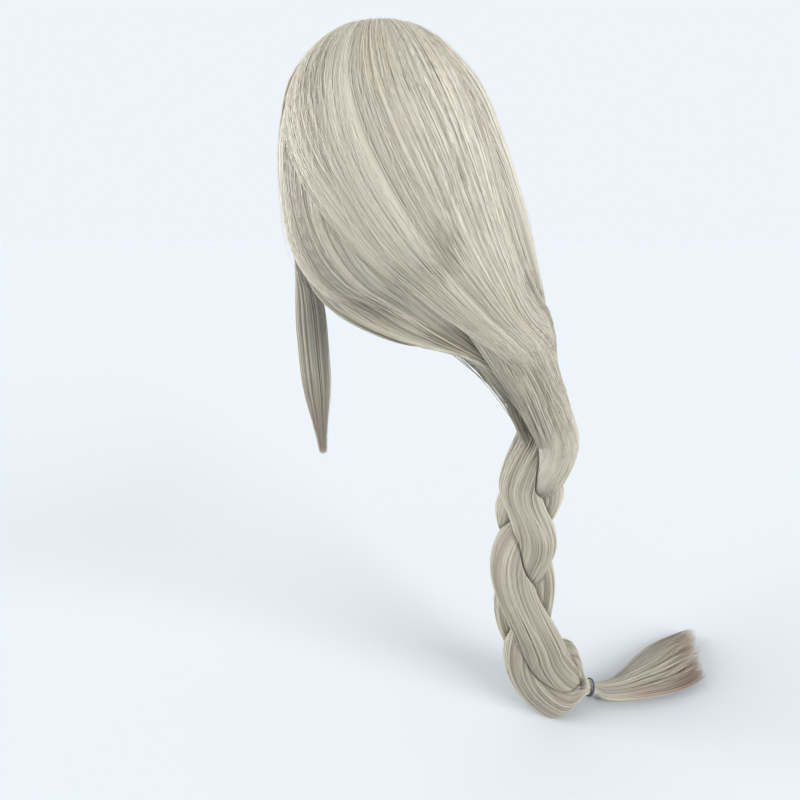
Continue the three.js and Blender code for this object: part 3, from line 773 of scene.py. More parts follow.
def main_sunk(spread, t):
    """The main fall stands proud where it closes over the side and the nape, and its edges roll in."""
    proud = 3.0 * smooth(spread, 0.86, 0.97) * smooth(t, 0.42, 0.6)
    proud = proud + 1.5 * (1 - smooth(spread, 0.05, 0.25)) * smooth(t, 0.7, 0.85)
    rolled = 4 * (1 - smooth(spread, 0, 0.03)) * smooth(t, 0.6, 0.75)
    return rolled + 3 * smooth(spread, 0.975, 1.0) * smooth(t, 0.42, 0.6) - proud


def nape_sunk(spread, t):
    covered = 3.5 * smooth(spread - main_low(t), -0.02, 0.02) * (1 - smooth(t, 0.5, 0.62))
    rolled = 7 * (1 - smooth(spread, 0, 0.03)) * smooth(t, 0.45, 0.6)
    return covered + 7.5 * smooth(t, 0.62, 0.86) * smooth(spread, 0, 0.16) + rolled


def side_sunk(spread, t):
    covered = 3.5 * smooth(main_high(t) - spread, -0.02, 0.02)
    return covered + 5.5 * smooth(t, 0.78, 0.9)


def right_sunk(spread, t):
    return 6 * smooth(spread, 0.93, 1.0) + 0 * t


def not_sunk(spread, t):
    return 0 * spread * t


def roots(count, random, reach):
    """Where strands leave the scalp, as shares of the flow: most of them near the whorl."""
    found = random.uniform(0, 1, count) ** 1.5 * reach
    found[: count // 3] *= 0.1
    random.shuffle(found)
    return found


def drawn_fall(name, sheet, across, place, flow, sunk, rho, seeds, deep=(0.0, 3.0), painted_highlight=0.0,
               turned=0.0, size=(0.26, 0.46), fibre=None, first=None, width=None, reach=0.2,
               leave=(0.76, 0.9)):
    """Strands that leave the scalp, follow a sheet and run into the plait.

    place is where each lies across the fall. flow says where that is across the sheet, and sunk how
    deep under the surface, at each share t of the way down.
    """
    relief_seed, tone_seed, own_seed = seeds
    count = len(place)
    width = across if width is None else width
    random = np.random.default_rng(own_seed)
    ks = column(17)
    begin = roots(count, random, reach) if first is None else random.uniform(*first, count)
    ts = lerp(begin, random.uniform(*leave, count), ks)
    wander = 0.002 * noise(place * 160, ks * 2, own_seed + 1) * smooth(ts, 0.1, 0.4)
    spread = np.clip(place + wander, 0, 1)
    depth = lerp(deep[0], deep[1], random.uniform(0, 1, count) ** 1.3)
    rooted = ROOT_SINK * (1 - smooth(ks, 0, 0.1))
    us = flow(spread, ts)
    sink = depth + rooted + sunk(spread, ts)
    controls, ups = sheet_controls(sheet, us, ts, sink, spread * width, SHEET_ALONG, relief_seed)
    last = np.full(count, GATHER_SHARE)
    ends, _ = sheet.at(flow(spread[-1], last), last, depth)
    controls, ups = into_plait(controls, ups, ends, random, rho - 0.02 * (depth - deep[0]), turned)
    share = column(FALL_STEPS)
    # The first term lifts the tone of the hair where the key light falls most: painted highlight.
    tone = painted_highlight + lock_tone(place * width, 0, tone_seed) + random.normal(0, 0.07, count)
    # Down the strand the tone dips low on the head and rises again where the hair runs into the plait:
    # painted shade on the lower falls, lifted at the gather. It is darker near the roots: painted shade at
    # the crown.
    tone = tone - 0.22 * smooth(share, 0.38, 0.56) + 0.30 * smooth(share, 0.6, 0.78)
    tone = tone - 0.3 * (1 - smooth(share, 0.04, 0.2))
    comb = comb_fields(place, width, FALL_STEPS, FALL_LENGTH, random)
    sizes = random.uniform(*size, count)
    return build_strands(name, controls, ups, FALL_STEPS, sizes, tone, 0.0, comb, fibre or hair)


def places(low, high, count, seed):
    return lerp(low, high, spaced(count, np.random.default_rng(seed)))


def build_main_fall(name, low, high, seed):
    place = places(low, high, 600, seed)
    # The main fall's right-hand part is lighter: painted highlight.
    return drawn_fall(name, back_sheet, BACK_ACROSS, place, main_flow, main_sunk, 1.0, (31, 41, seed),
                      width=MAIN_ACROSS, painted_highlight=0.09 * smooth(place, 0.45, 0.85))


def build_nape_fall(name, low, high, seed):
    """Hair from above the left ear that sweeps along the nape, under the main fall."""
    return drawn_fall(name, back_sheet, BACK_ACROSS, places(low, high, 540, seed), own_flow, nape_sunk,
                      0.94, (31, 42, seed), deep=(1.2, 4.2), leave=(0.88, 0.945))


def build_side_fall(name, low, high, seed):
    # The side fall is lighter all over: painted highlight.
    return drawn_fall(name, back_sheet, BACK_ACROSS, places(low, high, 500, seed), own_flow, side_sunk,
                      0.94, (31, 43, seed), painted_highlight=0.12)


def build_right_fall(name, low, high, seed):
    # The right fall is lighter all over: painted highlight.
    return drawn_fall(name, right_sheet, RIGHT_ACROSS, places(low, high, 500, seed), own_flow, right_sunk,
                      0.97, (33, 45, seed), deep=(0.0, 4.0), reach=0.12, painted_highlight=0.1)


def build_nape():
    """The under layer, which turns round the plait's hidden side. Its darker fibre is painted shade."""
    place = places(0, 0.66, 600, 15)
    turned = np.random.default_rng(19).uniform(0, 130, len(place))
    return drawn_fall("nape_hair", back_sheet, BACK_ACROSS, place, own_flow, not_sunk, 0.98, (35, 47, 115),
                      deep=(4.5, 11), turned=turned, size=(0.5, 0.8), fibre=hair_under_painted_shade, first=(0.36, 0.5),
                      leave=(0.86, 0.93))


LOCK_PATH = Path([(84, -50, -77), (82, -56, -120), (80, -61, -175), (77, -64, -235), (74, -66, -292)])


def lock_point(share, aside, out):
    """A point of the left lock's section: aside -1 to 1 from front to back, out 1 on its outer face."""
    p = LOCK_PATH.at(share)
    wide = lerp(12, 17, smooth(share, 0, 0.3)) * lerp(1, 0.3, smooth(share, 0.55, 1))
    deep = lerp(20, 15, share) * lerp(1, 0.4, smooth(share, 0.55, 1))
    round_off = np.sqrt(np.clip(1 - aside**2, 0, 1))
    p[..., 0] += wide * out * round_off
    p[..., 1] += deep * aside
    return p, unit(stacked(out * round_off + 0.05, aside, 0 * aside))


def build_left_fall():
    count, steps = 900, 36
    random = np.random.default_rng(14)
    place = spaced(count, random)
    ks = column(12)
    root = random.uniform(0, 1, count) ** 1.5 * 0.12
    ts = lerp(root, 0.92, ks)
    us = np.clip(place + 0.015 * noise(place * 60, ks * 3, 24), 0, 1)
    out = random.uniform(0, 1, count)
    depth = out * 7.5
    rooted = 5 * (1 - smooth(ts, 0.0, 0.05))
    controls, ups = sheet_controls(left_sheet, us, ts, depth + rooted, us * LEFT_ACROSS, SHEET_ALONG, 34)
    stop = lerp(0.72, 1.0, random.uniform(0, 1, count) ** 0.6)
    for j in range(7):
        share = lerp(0.14, stop, j / 6)
        spot, way = lock_point(share, 2 * place - 1, 1 - 2 * out)
        controls = np.concatenate([controls, spot[None]])
        ups = np.concatenate([ups, way[None]])
    tone = 0.03 + lock_tone(place * LEFT_ACROSS, 0, 46) + random.normal(0, 0.06, count)
    sizes = random.uniform(0.32, 0.56, count)
    comb = comb_fields(place, LEFT_ACROSS, steps, LEFT_LENGTH, random)
    tip = 0.6 * smooth(column(steps), 0.8, 1)
    return build_strands("left_fall", controls, ups, steps, sizes, tone, tip, comb, hair)


def build_fringe():
    count, steps = 900, 24
    random = np.random.default_rng(16)
    place = spaced(count, random)
    across = place * FRINGE_ACROSS
    middles = np.array([0.02, 0.26, 0.5, 0.74, 0.98])
    clump = middles[np.argmin(np.abs(place[:, None] - middles), axis=1)]
    ks = column(10)
    end = lerp(0.62, 1.0, random.uniform(0, 1, count) ** 0.5)
    ts = lerp(random.uniform(0, 0.1, count), end, ks)
    gathered = 0.5 * smooth(ts, 0.45, 1.0)
    us = np.clip(lerp(place, clump, gathered) + 0.01 * noise(place * 60, ks * 3, 25), 0, 1)
    depths = random.uniform(0, 4.5, count) + 4 * (1 - smooth(ts, 0, 0.06))
    controls, ups = sheet_controls(fringe_sheet, us, ts, depths, across, FRINGE_LENGTH, 36)
    tone = 0.04 + lock_tone(across, 0, 48) + random.normal(0, 0.06, count)
    sizes = random.uniform(0.28, 0.52, count)
    comb = comb_fields(place, FRINGE_ACROSS, steps, FRINGE_LENGTH, random)
    tip = 0.35 * smooth(column(steps), 0.8, 1)
    return build_strands("fringe", controls, ups, steps, sizes, tone, tip, comb, hair, tip_taper=0.5)


# ---- The plait's own fibres ----
def top_taper(share, late):
    """The plait's strands are slender where the head's hair closes over their tops."""
    return lerp(0.4, 1, smooth(share - late, 0.0, 0.11))


PLAIT_COMB = 520


def plait_relief(angle, share, strand):
    """How far locks stand proud of a plait strand, as a share of its radius."""
    return lock_relief(angle * SKIN_RADIUS, share * 500, 70 + strand) / SKIN_RADIUS


def build_plait_strand(letter, strand, half):
    count, steps = 380, 86
    random = np.random.default_rng(50 + strand + 10 * half)
    angle = (spaced(count, random) + half) * np.pi
    share = lerp(random.uniform(0.0, 0.05, count), TIE_SHARE, column(steps))
    spin = angle + 0.1 * noise(angle * 8, share * 7, 60 + strand)
    relief = plait_relief(spin, share, strand)
    late = random.uniform(0.0, 0.17, count)
    rho = (random.uniform(0.965, 1.01, count) + 0.5 * relief) * top_taper(share, late)
    path, up = plait_point(strand, share, spin, rho)
    tone = lerp(0.5, lock_tone(angle * SKIN_RADIUS, 0, 80 + strand), 0.7) + random.normal(0, 0.07, count)
    # Darker down the plait: painted shade.
    tone = tone - lerp(0.08, 0.2, smooth(share, 0.3, 0.75))
    sizes = random.uniform(0.26, 0.46, count)
    comb = comb_fields(angle, SKIN_RADIUS, steps, PLAIT_COMB, random)
    radius = sizes * lerp(1, 0.62, smooth(share, 0.85, 0.98))
    name = "plait_strand_%s_%d" % (letter, half + 1)
    return tubes(name, path, up, radius, tone, 0.0, comb, hair_braid_painted_shade)


def build_plait_core(letter, strand):
    sides, steps = 60, 170
    share = np.linspace(0.0, 0.99, steps)[:, None]
    angle = np.linspace(0, 2 * np.pi, sides + 1)[:-1][None]
    rho = (0.95 + 0.5 * plait_relief(angle, share, strand)) * top_taper(share, 0.08)
    rho = rho * lerp(1, 0.6, smooth(share, 0.95, 0.985))
    rings, _ = plait_point(strand, share, angle, rho)
    across = angle * SKIN_RADIUS
    # The core is darker than the strands over it, and darker down the plait: painted shade between the
    # strands and along the plait.
    tone = lock_tone(across, share * 300, 80 + strand) - lerp(0.14, 0.28, smooth(share, 0.3, 0.75))
    attributes = {"tone": tone, "tip": 0 * tone, "comb": stacked(across, share * PLAIT_COMB, 0.0)}
    return rod_mesh("plait_core_" + letter, rings, attributes, hair_braid_painted_shade)


TAIL_ACROSS = 30
TAIL_LENGTH = 260
TAIL_POINTS = 9
TAIL_PATH = Path([(-259, -28, -590), (-287, -31, -590), (-336, -53, -590), (-391, -90, -591),
                  (-424, -108, -592), (-450, -121, -592)])


def tail_point(share, aside, rise):
    centre = TAIL_PATH.at(share)
    along = TAIL_PATH.along(share)
    across = unit(stacked(along[..., 1], -along[..., 0], 0.0))
    half = lerp(9, 40, smooth(share, -0.15, 0.6))
    tall = lerp(10, 16, smooth(share, 0, 0.3)) * lerp(1, 0.8, smooth(share, 0.6, 1))
    p = centre + across * (half * aside)[..., None]
    p[..., 2] = np.maximum(p[..., 2] + tall * rise * np.sqrt(np.clip(1 - aside**2, 0.02, 1)), LIE_Z)
    normal = across * aside[..., None]
    normal[..., 2] += np.maximum(rise, 0.1)
    return p, unit(normal)


def build_tail():
    count, steps = 1100, 28
    random = np.random.default_rng(17)
    around = random.uniform(0, 2 * np.pi, count)
    inside = np.sqrt(random.uniform(0.15, 1, count))
    aside, rise = inside * np.cos(around), inside * np.sin(around)
    controls, ups = [], []
    for share in (0.93, 0.96, TIE_SHARE):
        centre = PLAIT_PATH.at(share)
        along = PLAIT_PATH.along(share)
        full = plait_fullness(np.array(share))
        flat = unit(np.array([along[1], -along[0], 0.0]))
        lift = np.cross(along, flat)
        lift = lift * np.sign(lift[2])
        spread = 33 * full
        spot = centre + flat * (aside * spread)[:, None] + lift * (rise * spread)[:, None]
        spot[:, 2] = np.maximum(spot[:, 2], LIE_Z)
        controls.append(spot)
        ups.append(unit(flat * aside[:, None] + lift * rise[:, None]))
    forked = np.where(aside > 0.05, 1.0, -1.0)
    stop = lerp(1.0, 0.7, smooth(aside, -0.9, 0.9)) * lerp(0.86, 1, random.uniform(0, 1, count) ** 0.6)
    for done in np.linspace(0, 1, TAIL_POINTS):
        parted = aside + 0.10 * forked * smooth(done, 0.5, 1) * (1 - np.abs(aside))
        spot, out = tail_point(lerp(0.03, stop, done), parted, rise)
        controls.append(spot)
        ups.append(out)
    controls, ups = np.stack(controls), np.stack(ups)
    tone = lock_tone(aside * TAIL_ACROSS, 0, 49) + random.normal(0, 0.12, count)
    sizes = random.uniform(0.28, 0.5, count)
    comb = comb_fields(aside, TAIL_ACROSS, steps, TAIL_LENGTH, random)
    length = column(steps)
    # The tips are browner, the hair's own colour. The near half of the tail is browner too: painted shade
    # on its shadowed side.
    brown_tips_and_shade = 0.85 * smooth(length, 0.62, 0.98) + 0.8 * smooth(length, 0.25, 0.55) * smooth(aside, 0.2, 0.8)
    tip = np.clip(brown_tips_and_shade + random.normal(0, 0.1, count), 0, 1)
    return build_strands("tail", controls, ups, steps, sizes, tone, tip, comb, hair_tail, tip_taper=0.4)


def loop_mesh(name, rings, attributes, material):
    """A closed loop of tube through rings[L, S, A, 3]: L loops of S steps with A sides."""
    loops, steps, sides = rings.shape[:3]
    ids = np.arange(loops * steps * sides).reshape(loops, steps, sides)
    ahead, round_it = np.roll(ids, -1, axis=1), np.roll(ids, -1, axis=2)
    corner = np.roll(ahead, -1, axis=2)
    quads = np.stack([ids, ahead, corner, round_it], -1).reshape(-1, 4)
    flat = {key: np.broadcast_to(v, rings.shape[:3] + v.shape[3:]).reshape((-1,) + v.shape[3:])
            for key, v in attributes.items()}
    return make_object(name, rings.reshape(-1, 3), [quads], [4], flat, material)


TIE_COILS = 2
TIE_PITCH = 1.4
PLY_RADIUS = 0.48
PLY_OFF = 0.42
PLY_TWISTS = 20
TIE_REACH = TIE_RADIUS + 1.7


def build_tie():
    """The elastic: turns of a two-ply cord side by side round the plait's end."""
    centre, along = PLAIT_PATH.at(TIE_SHARE), PLAIT_PATH.along(TIE_SHARE)
    over = unit(np.cross(along, [1.0, 0.0, 0.0]))
    aside = np.cross(along, over)
    turn = np.linspace(0, 2 * np.pi, 241)[:-1]
    side = np.linspace(0, 2 * np.pi, 8)[:-1]
    out = over * np.cos(turn)[:, None] + aside * np.sin(turn)[:, None]
    ring = out[:, None] * np.cos(side)[None, :, None] + along * np.sin(side)[None, :, None]
    loops = []
    for coil in range(TIE_COILS):
        for ply in range(2):
            wobble = 0.35 * np.sin(2 * turn + coil)
            twist = PLY_TWISTS * turn + np.pi * ply + coil
            reach = TIE_REACH + PLY_OFF * np.cos(twist)
            shift = (coil - (TIE_COILS - 1) / 2) * TIE_PITCH + wobble + PLY_OFF * np.sin(twist)
            path = centre + out * reach[:, None] + along * shift[:, None]
            loops.append(path[:, None] + PLY_RADIUS * ring)
    rings = np.array(loops)
    comb = np.broadcast_to((turn * 60)[None, :, None, None], rings.shape) * 1.0
    return loop_mesh("tie_coils", rings, {"comb": comb}, tie_elastic)


def single_hairs(name, spots, ups, steps, fair, u, across_mm, along_mm, tip, material, random):
    """Thin strands that stand off the hair they have come out of."""
    count = spots.shape[1]
    tone = fair + random.normal(0, 0.12, count)
    comb = comb_fields(u, across_mm, steps, along_mm, random)
    sizes = random.uniform(0.13, 0.2, count)
    return build_strands(name, spots, ups, steps, sizes, tone, tip, comb, material)


def build_head_wisps():
    """Single hairs that stand off the falls."""
    count = 260
    random = np.random.default_rng(201)
    ks = column(6)
    begin = random.uniform(0.04, 0.6, count)
    ts = begin + ks * random.uniform(0.08, 0.3, count)
    lane = random.uniform(0.0, 1, count)
    us = np.clip(lane + 0.03 * random.normal(0, 1, count) * ks**2, 0, 1)
    lift = random.uniform(0.6, 2.6, count) * np.sin(np.pi * ks * random.uniform(0.6, 1, count))
    spots, ups = back_sheet.at(us, ts, 0.3 - lift)
    return single_hairs("head_wisps", spots, ups, 14, 0.62, lane, MAIN_ACROSS, 90, 0.0, hair, random)


def build_plait_wisps():
    """Single hairs that have come out of the plait."""
    count = 240
    random = np.random.default_rng(202)
    ks = column(6)
    share = random.uniform(0.12, 0.84, count) + ks * random.uniform(0.03, 0.12, count)
    angle = random.uniform(0, 2 * np.pi, count) + ks**2 * random.normal(0, 0.5, count)
    rho = 0.99 + random.uniform(0.02, 0.22, count) * ks**1.6
    spots, ups = own_plait_point(random.integers(0, 3, count), share, angle, rho)
    return single_hairs(
        "plait_wisps", spots, ups, 12, 0.62, angle[0], SKIN_RADIUS, 50, 0.0, hair_braid_painted_shade, random)


def build_tail_wisps():
    """Stray hairs that rise out of the tail."""
    count, steps = 46, 14
    random = np.random.default_rng(203)
    ks = column(6)
    share = random.uniform(0.12, 0.5, count) + ks * random.uniform(0.1, 0.42, count)
    aside = random.uniform(-0.9, 0.9, count) + 0.25 * random.normal(0, 1, count) * ks**2
    aside = np.clip(aside, -1.1, 1.1)
    spots, ups = tail_point(share, aside, np.full_like(share, 0.98))
    spots[..., 2] += random.uniform(2, 26, count) * ks**1.8
    tip = 0.7 * smooth(column(steps), 0.3, 1)
    return single_hairs(
        "tail_wisps", spots, ups, steps, 0.6, aside[0], TAIL_ACROSS, 60, tip, hair_tail, random)


# ---- Base shells under the strands ----
def build_shell(name, sheet, us, ts, depths, across, seed, tone_seed, material,
                flow=own_flow, sunk=not_sunk, width=None):
    """A thin grooved slab of hair that closes what lies between the strands.

    us and ts are each a first share, a last share and how many.
    """
    spread, t = np.meshgrid(np.linspace(*us), np.linspace(*ts), indexing="ij")
    u = flow(spread, t)
    width = across if width is None else width
    relief = lock_relief(spread * width, t * SHEET_ALONG, seed)
    deeper = sunk(spread, t) + 4 * smooth(t, 0.82, 0.95)
    outer, _ = sheet.at(u, t, depths[0] + deeper - relief)
    inner, _ = sheet.at(u, t, depths[1] + deeper - 0.3 * relief)
    # The shells are darker than the strands and darker still at the roots: painted shade between the
    # strands and at the crown.
    tone = lock_tone(spread * width, t * SHEET_ALONG, tone_seed) - 0.1 - 0.3 * (1 - smooth(t, 0.02, 0.14))
    attributes = {"tone": tone, "tip": 0 * tone, "comb": stacked(spread * width, t * SHEET_ALONG, 0.0)}
    return slab_mesh(name, outer, inner, attributes, material)


# ---- The cap, on the same head as the CAD has it ----
FRONT_RIM_Z = 40
NAPE_RIM_Z = -62
NET_OFF = 3.4
BAND_OFF = (3.0, 4.2)
WEFT_OFF = (4.6, 5.4)
CELL = 4.2
THREAD_RADIUS = 0.34
BINDING_RADIUS = 0.7
WEFT_ROWS = 8
WEFT_TALL = 0.018


def signed_power(x, power):
    return np.sign(x) * np.abs(x) ** power


def rim_height(turn):
    return lerp(NAPE_RIM_Z, FRONT_RIM_Z, (1 - np.cos(np.radians(turn))) / 2)


def round_head(turn, level, reach, off):
    """A point of the head's oval at a height, with the way out from the head's middle."""
    x = (HEAD_HALF_WIDTH + off) * reach * np.sin(np.radians(turn))
    y = (HEAD_HALF_LENGTH + off) * reach * np.cos(np.radians(turn))
    p = stacked(x, y, level)
    return p, unit(p / [HEAD_HALF_WIDTH**2, HEAD_HALF_LENGTH**2, HEAD_TOP**2])


def cap_point(turn, rise, off):
    """A point of the cap: rise runs from 0 on the rim to 1 at the crown."""
    rim = rim_height(turn)
    q = HEAD_SQUARENESS
    rim_tall = np.where(rim > 0, HEAD_TOP, HEAD_LOW)
    start = np.sign(rim) * np.arcsin((np.abs(rim) / rim_tall) ** (q / 2))
    tilt = lerp(start, np.pi / 2, rise)
    tall = np.where(tilt > 0, HEAD_TOP, HEAD_LOW) + off
    level = tall * signed_power(np.sin(tilt), 2 / q)
    return round_head(turn, level, np.abs(np.cos(tilt)) ** (2 / q), off)


def head_point(turn, z, off):
    tall = np.where(z > 0, HEAD_TOP, HEAD_LOW) + off
    q = HEAD_SQUARENESS
    return round_head(turn, z, np.maximum(0, 1 - (np.abs(z) / tall) ** q) ** (1 / q), off)


def line_length(points):
    return float(np.sum(np.linalg.norm(np.diff(points, axis=0), axis=1)))


def patch_size(turns, rises):
    """How wide and how tall a patch of the cap is, in mm, through its middle."""
    share = np.linspace(0, 1, 60)
    width = line_length(cap_point(lerp(*turns, share), np.mean(rises) + 0 * share, NET_OFF)[0])
    height = line_length(cap_point(np.mean(turns) + 0 * share, lerp(*rises, share), NET_OFF)[0])
    return width, height


def threads(name, lines, radii, material):
    """Closed threads of one object from (points[M, 3], ways out[M, 3]) pairs of equal counts."""
    path = np.stack([p for p, _ in lines], axis=1)
    up = np.stack([o for _, o in lines], axis=1)
    steps, count = path.shape[:2]
    along = np.linspace(0, 1, steps)[:, None] * np.ones((1, count)) * 100
    comb = (np.arange(count)[None] * 7.0 + 0 * along, along, 0 * along)
    radius = np.broadcast_to(np.asarray(radii, float), (steps, count))
    return tubes(name, path, up, radius, 0.5, 0.0, comb, material, thin=1.0)


def build_net(name, turns, rises):
    """A stretched net: two rows of slanting threads that cross, and a binding cord round them."""
    width, height = patch_size(turns, rises)
    share = np.linspace(0, 1, 30)
    lines, radii = [], []
    for slope in (1, -1):
        for x in np.arange(-height + CELL / 2, width, CELL):
            low, high = max(0.0, -x / height), min(1.0, (width - x) / height)
            if high - low < 0.03:
                continue
            v = lerp(low, high, share)
            u = (x + v * height) / width
            u = u if slope > 0 else 1 - u
            lines.append(cap_point(lerp(*turns, u), lerp(*rises, v), NET_OFF + 0.2 * slope))
            radii.append(THREAD_RADIUS)
    for u0, u1, v0, v1 in ((0, 1, 0, 0), (0, 1, 1, 1), (0, 0, 0, 1), (1, 1, 0, 1)):
        u, v = lerp(u0, u1, share), lerp(v0, v1, share)
        lines.append(cap_point(lerp(*turns, u), lerp(*rises, v), NET_OFF))
        radii.append(BINDING_RADIUS)
    net = threads(name, lines, radii, net_thread)
    return net


CROWN_RISES = (0.71, 0.985)
CROWN_RINGS = 18
CROWN_SPOKES = 64


def build_crown_net():
    """The round net at the crown: rings on spokes, every other spoke stopping halfway."""
    share = np.linspace(0, 1, 72)
    lines, radii = [], []
    for rise in np.linspace(*CROWN_RISES, CROWN_RINGS):
        lines.append(cap_point(360 * share, rise + 0 * share, NET_OFF + 0.2))
        radii.append(BINDING_RADIUS if rise == CROWN_RISES[0] else THREAD_RADIUS)
    for spoke in range(CROWN_SPOKES):
        top = CROWN_RISES[1] if spoke % 2 == 0 else np.mean(CROWN_RISES)
        turn = 360 * spoke / CROWN_SPOKES + 0 * share
        lines.append(cap_point(turn, lerp(CROWN_RISES[0], top, share), NET_OFF - 0.2))
        radii.append(THREAD_RADIUS)
    net = threads("crown_lace", lines, radii, net_thread)
    return net


def cap_cloth(name, turns, rises, offs, counts, material, ribs, relief=0.1):
    """A strip or patch of cloth on the cap, ribbed across its length, with rounded edges."""
    u, v = grid(counts)
    width, height = patch_size(turns, rises)
    edge = 1 - np.minimum(np.minimum(v, 1 - v) * height, np.minimum(u, 1 - u) * width).clip(0, 1)
    rib = relief * np.sin(2 * np.pi * u * ribs) + 0.5 * relief * np.sin(2 * np.pi * v * height / 2.2)
    turn, rise = lerp(*turns, u), lerp(*rises, v)
    outer = cap_point(turn, rise, offs[1] - 0.35 * edge + rib)[0]
    inner = cap_point(turn, rise, offs[0] + 0.35 * edge + rib)[0]
    return slab_mesh(name, outer, inner, {"comb": stacked(u * width, v * height, 0.0)}, material)


def stitch_line(turns, rises, off, pitch, swing=0.0):
    """A sewn line on the cap: each stitch dips under the cloth at its ends. swing makes it a zigzag."""
    width, _ = patch_size(turns, (rises[0] - 0.01, rises[0] + 0.01))
    length = max(width, line_length(cap_point(*np.array([turns, rises]), off)[0]))
    count = int(length / pitch)
    share = np.linspace(0, 1, count * 4 + 1)
    beat = share * count
    dip = 0.45 * np.abs(np.sin(np.pi * beat))
    side = swing * (2 * np.abs((beat / 2) % 1 - 0.5) - 0.5)
    return cap_point(lerp(*turns, share), lerp(*rises, share) + side, off - 0.25 + dip)


SEWN_POINTS = 900


def sewn(name, lines, radius, material):
    """Stitched lines of one object, brought to the same count of points."""
    even = []
    for p, out in lines:
        own = np.arange(len(p))
        place = np.linspace(0, len(p) - 1, SEWN_POINTS)
        even.append([stacked(*(np.interp(place, own, a[:, k]) for k in range(3))) for a in (p, out)])
    return threads(name, even, radius, material)


TAB_TURN = 98
TAB_HALF = 12
TAB_TOP = 2.2
TAB_DROP = 24


def tab_cloth(name, side, offs, counts, material, relief):
    """An ear tab: a tongue that hangs from the rim before the ear."""
    u, v = grid(counts)
    taper = np.sqrt(np.maximum(0.15, 1 - v**3))
    turn = TAB_TURN + np.degrees(TAB_HALF * taper * lerp(-1, 1, u) / HEAD_HALF_LENGTH)
    z = rim_height(turn) - lerp(TAB_TOP, TAB_DROP, v)
    rib = relief * np.sin(2 * np.pi * u * TAB_HALF / 1.1)
    outer = head_point(side * turn, z, offs[1] + rib)[0]
    inner = head_point(side * turn, z, offs[0] + rib)[0]
    return slab_mesh(name, outer, inner, {"comb": stacked(u * 2 * TAB_HALF, v * TAB_DROP, 0.0)}, material)


ADJUSTER_Z = -40
ADJUSTER_TALL = 8
STRAP_OFF = 0.9


def circle_through(a, b, c):
    """The centre and radius of the circle through three points, seen from above."""
    rows = np.array([[2 * (b[0] - a[0]), 2 * (b[1] - a[1])], [2 * (c[0] - a[0]), 2 * (c[1] - a[1])]])
    squares = [p[0] ** 2 + p[1] ** 2 for p in (a, b, c)]
    centre = np.linalg.solve(rows, [squares[1] - squares[0], squares[2] - squares[0]])
    return centre[0], centre[1], math.hypot(a[0] - centre[0], a[1] - centre[1])


STRAP_X, STRAP_Y, STRAP_CURVE = circle_through(
    *(head_point(np.array(float(turn)), np.array(float(ADJUSTER_Z)), STRAP_OFF)[0] for turn in (3, 22, 44)))
STRAP_START = math.asin(-STRAP_X / STRAP_CURVE)


def strap_point(side, reach, depth, z):
    """A point reach mm along the circle that the hooks move round, and depth mm inside it."""
    angle = STRAP_START + reach / STRAP_CURVE
    out = STRAP_CURVE - depth
    return stacked(side * (STRAP_X + out * np.sin(angle)), STRAP_Y + out * np.cos(angle), z)


def strap(name, side, reach, depths, tall, counts, material, humps=0, hump_height=0.0, ribs=0):
    """A flat strip on the circle that the hooks move round. humps makes the tape's sewn pockets."""
    u, v = grid(counts)
    raised = hump_height * np.abs(np.sin(np.pi * u * humps))
    ribbed = 0.08 * np.sin(2 * np.pi * v * ribs)
    place, z = lerp(*reach, u), ADJUSTER_Z + tall * (v - 0.5)
    outer = strap_point(side, place, depths[0] + ribbed, z)
    inner = strap_point(side, place, depths[1] + raised + ribbed, z)
    comb = stacked(v * tall, u * (reach[1] - reach[0]), 0.0)
    return slab_mesh(name, outer, inner, {"comb": comb}, material)


def dress_node(node, material):
    """Gives a CAD node that keeps its own shape a finish."""
    made = bpy.data.objects[node]
    made.data.materials.clear()
    made.data.materials.append(material)


def settle(piece, slot, body, *nodes):
    """Hides the CAD nodes that a piece stands for and hangs the piece on one body. slot is not used."""
    if nodes:
        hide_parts(*nodes)
    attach(piece, body)


NETS = [
    ("back_left", (20.5, 58)),
    ("back_centre", (-19.5, 19.5)),
    ("back_right", (-58, -20.5)),
    ("side_left", (59, 126)),
    ("side_right", (-126, -59)),
    ("front", (127, 233)),
]
NET_RISES = (0.075, 0.7)
BAND_RISES = (0, 0.07)
BANDS = [("front_band", (112, 248), (360, 9)), ("nape_band", (-110, 110), (520, 9))]
PATCH_TURNS = (150, 210)
PATCH_RISES = (0.3, 0.62)


def build_lining():
    """The nets, the bands and the parting patch."""
    for place, turns in NETS:
        settle(build_net("lace_" + place, turns, NET_RISES), "cap_net", "wig", "net_" + place)
    settle(build_crown_net(), "cap_net", "wig", "crown_net")
    for node, turns, counts in BANDS:
        size = patch_size(turns, BAND_RISES)
        band = cap_cloth(node + "_cloth", turns, BAND_RISES, BAND_OFF, counts, band_cloth, size[0] / 3)
        settle(band, "cap_net", "wig", node)
    patch = cap_cloth("parting_cloth", PATCH_TURNS, PATCH_RISES, WEFT_OFF, (70, 60), skin_cloth, 22, 0.05)
    size = patch_size(PATCH_TURNS, PATCH_RISES)
    settle(patch, "skin_cloth", "wig", "parting_patch")


def build_wefts():
    """The weft rows, and all the stitching."""
    seams = []
    for row in range(WEFT_ROWS):
        rise, reach = 0.1 + row * 0.075, lerp(82, 96, row / WEFT_ROWS)
        turns, rises = (-reach, reach), (rise, rise + WEFT_TALL)
        name = "weft_strip_%d" % (row + 1)
        strip = cap_cloth(name, turns, rises, WEFT_OFF, (400, 6), weft_thread, 130, 0.12)
        settle(strip, "weft", "wig", "weft_row_%d" % (row + 1))
        for share in (0.3, 0.75):
            level = rise + WEFT_TALL * share
            seams.append(stitch_line(turns, (level, level), WEFT_OFF[0], 3.0, swing=0.008))
    settle(sewn("weft_stitching", seams, 0.24, weft_thread), "weft", "wig")
    edges = [(turns, (rise, rise)) for _, turns, _ in BANDS for rise in (0.012, 0.058)]
    lines = [stitch_line(*edge, off, 3.2) for off in (BAND_OFF[0], BAND_OFF[1] + 0.3) for edge in edges]
    settle(sewn("band_stitching", lines, 0.22, net_thread), "weft", "wig")


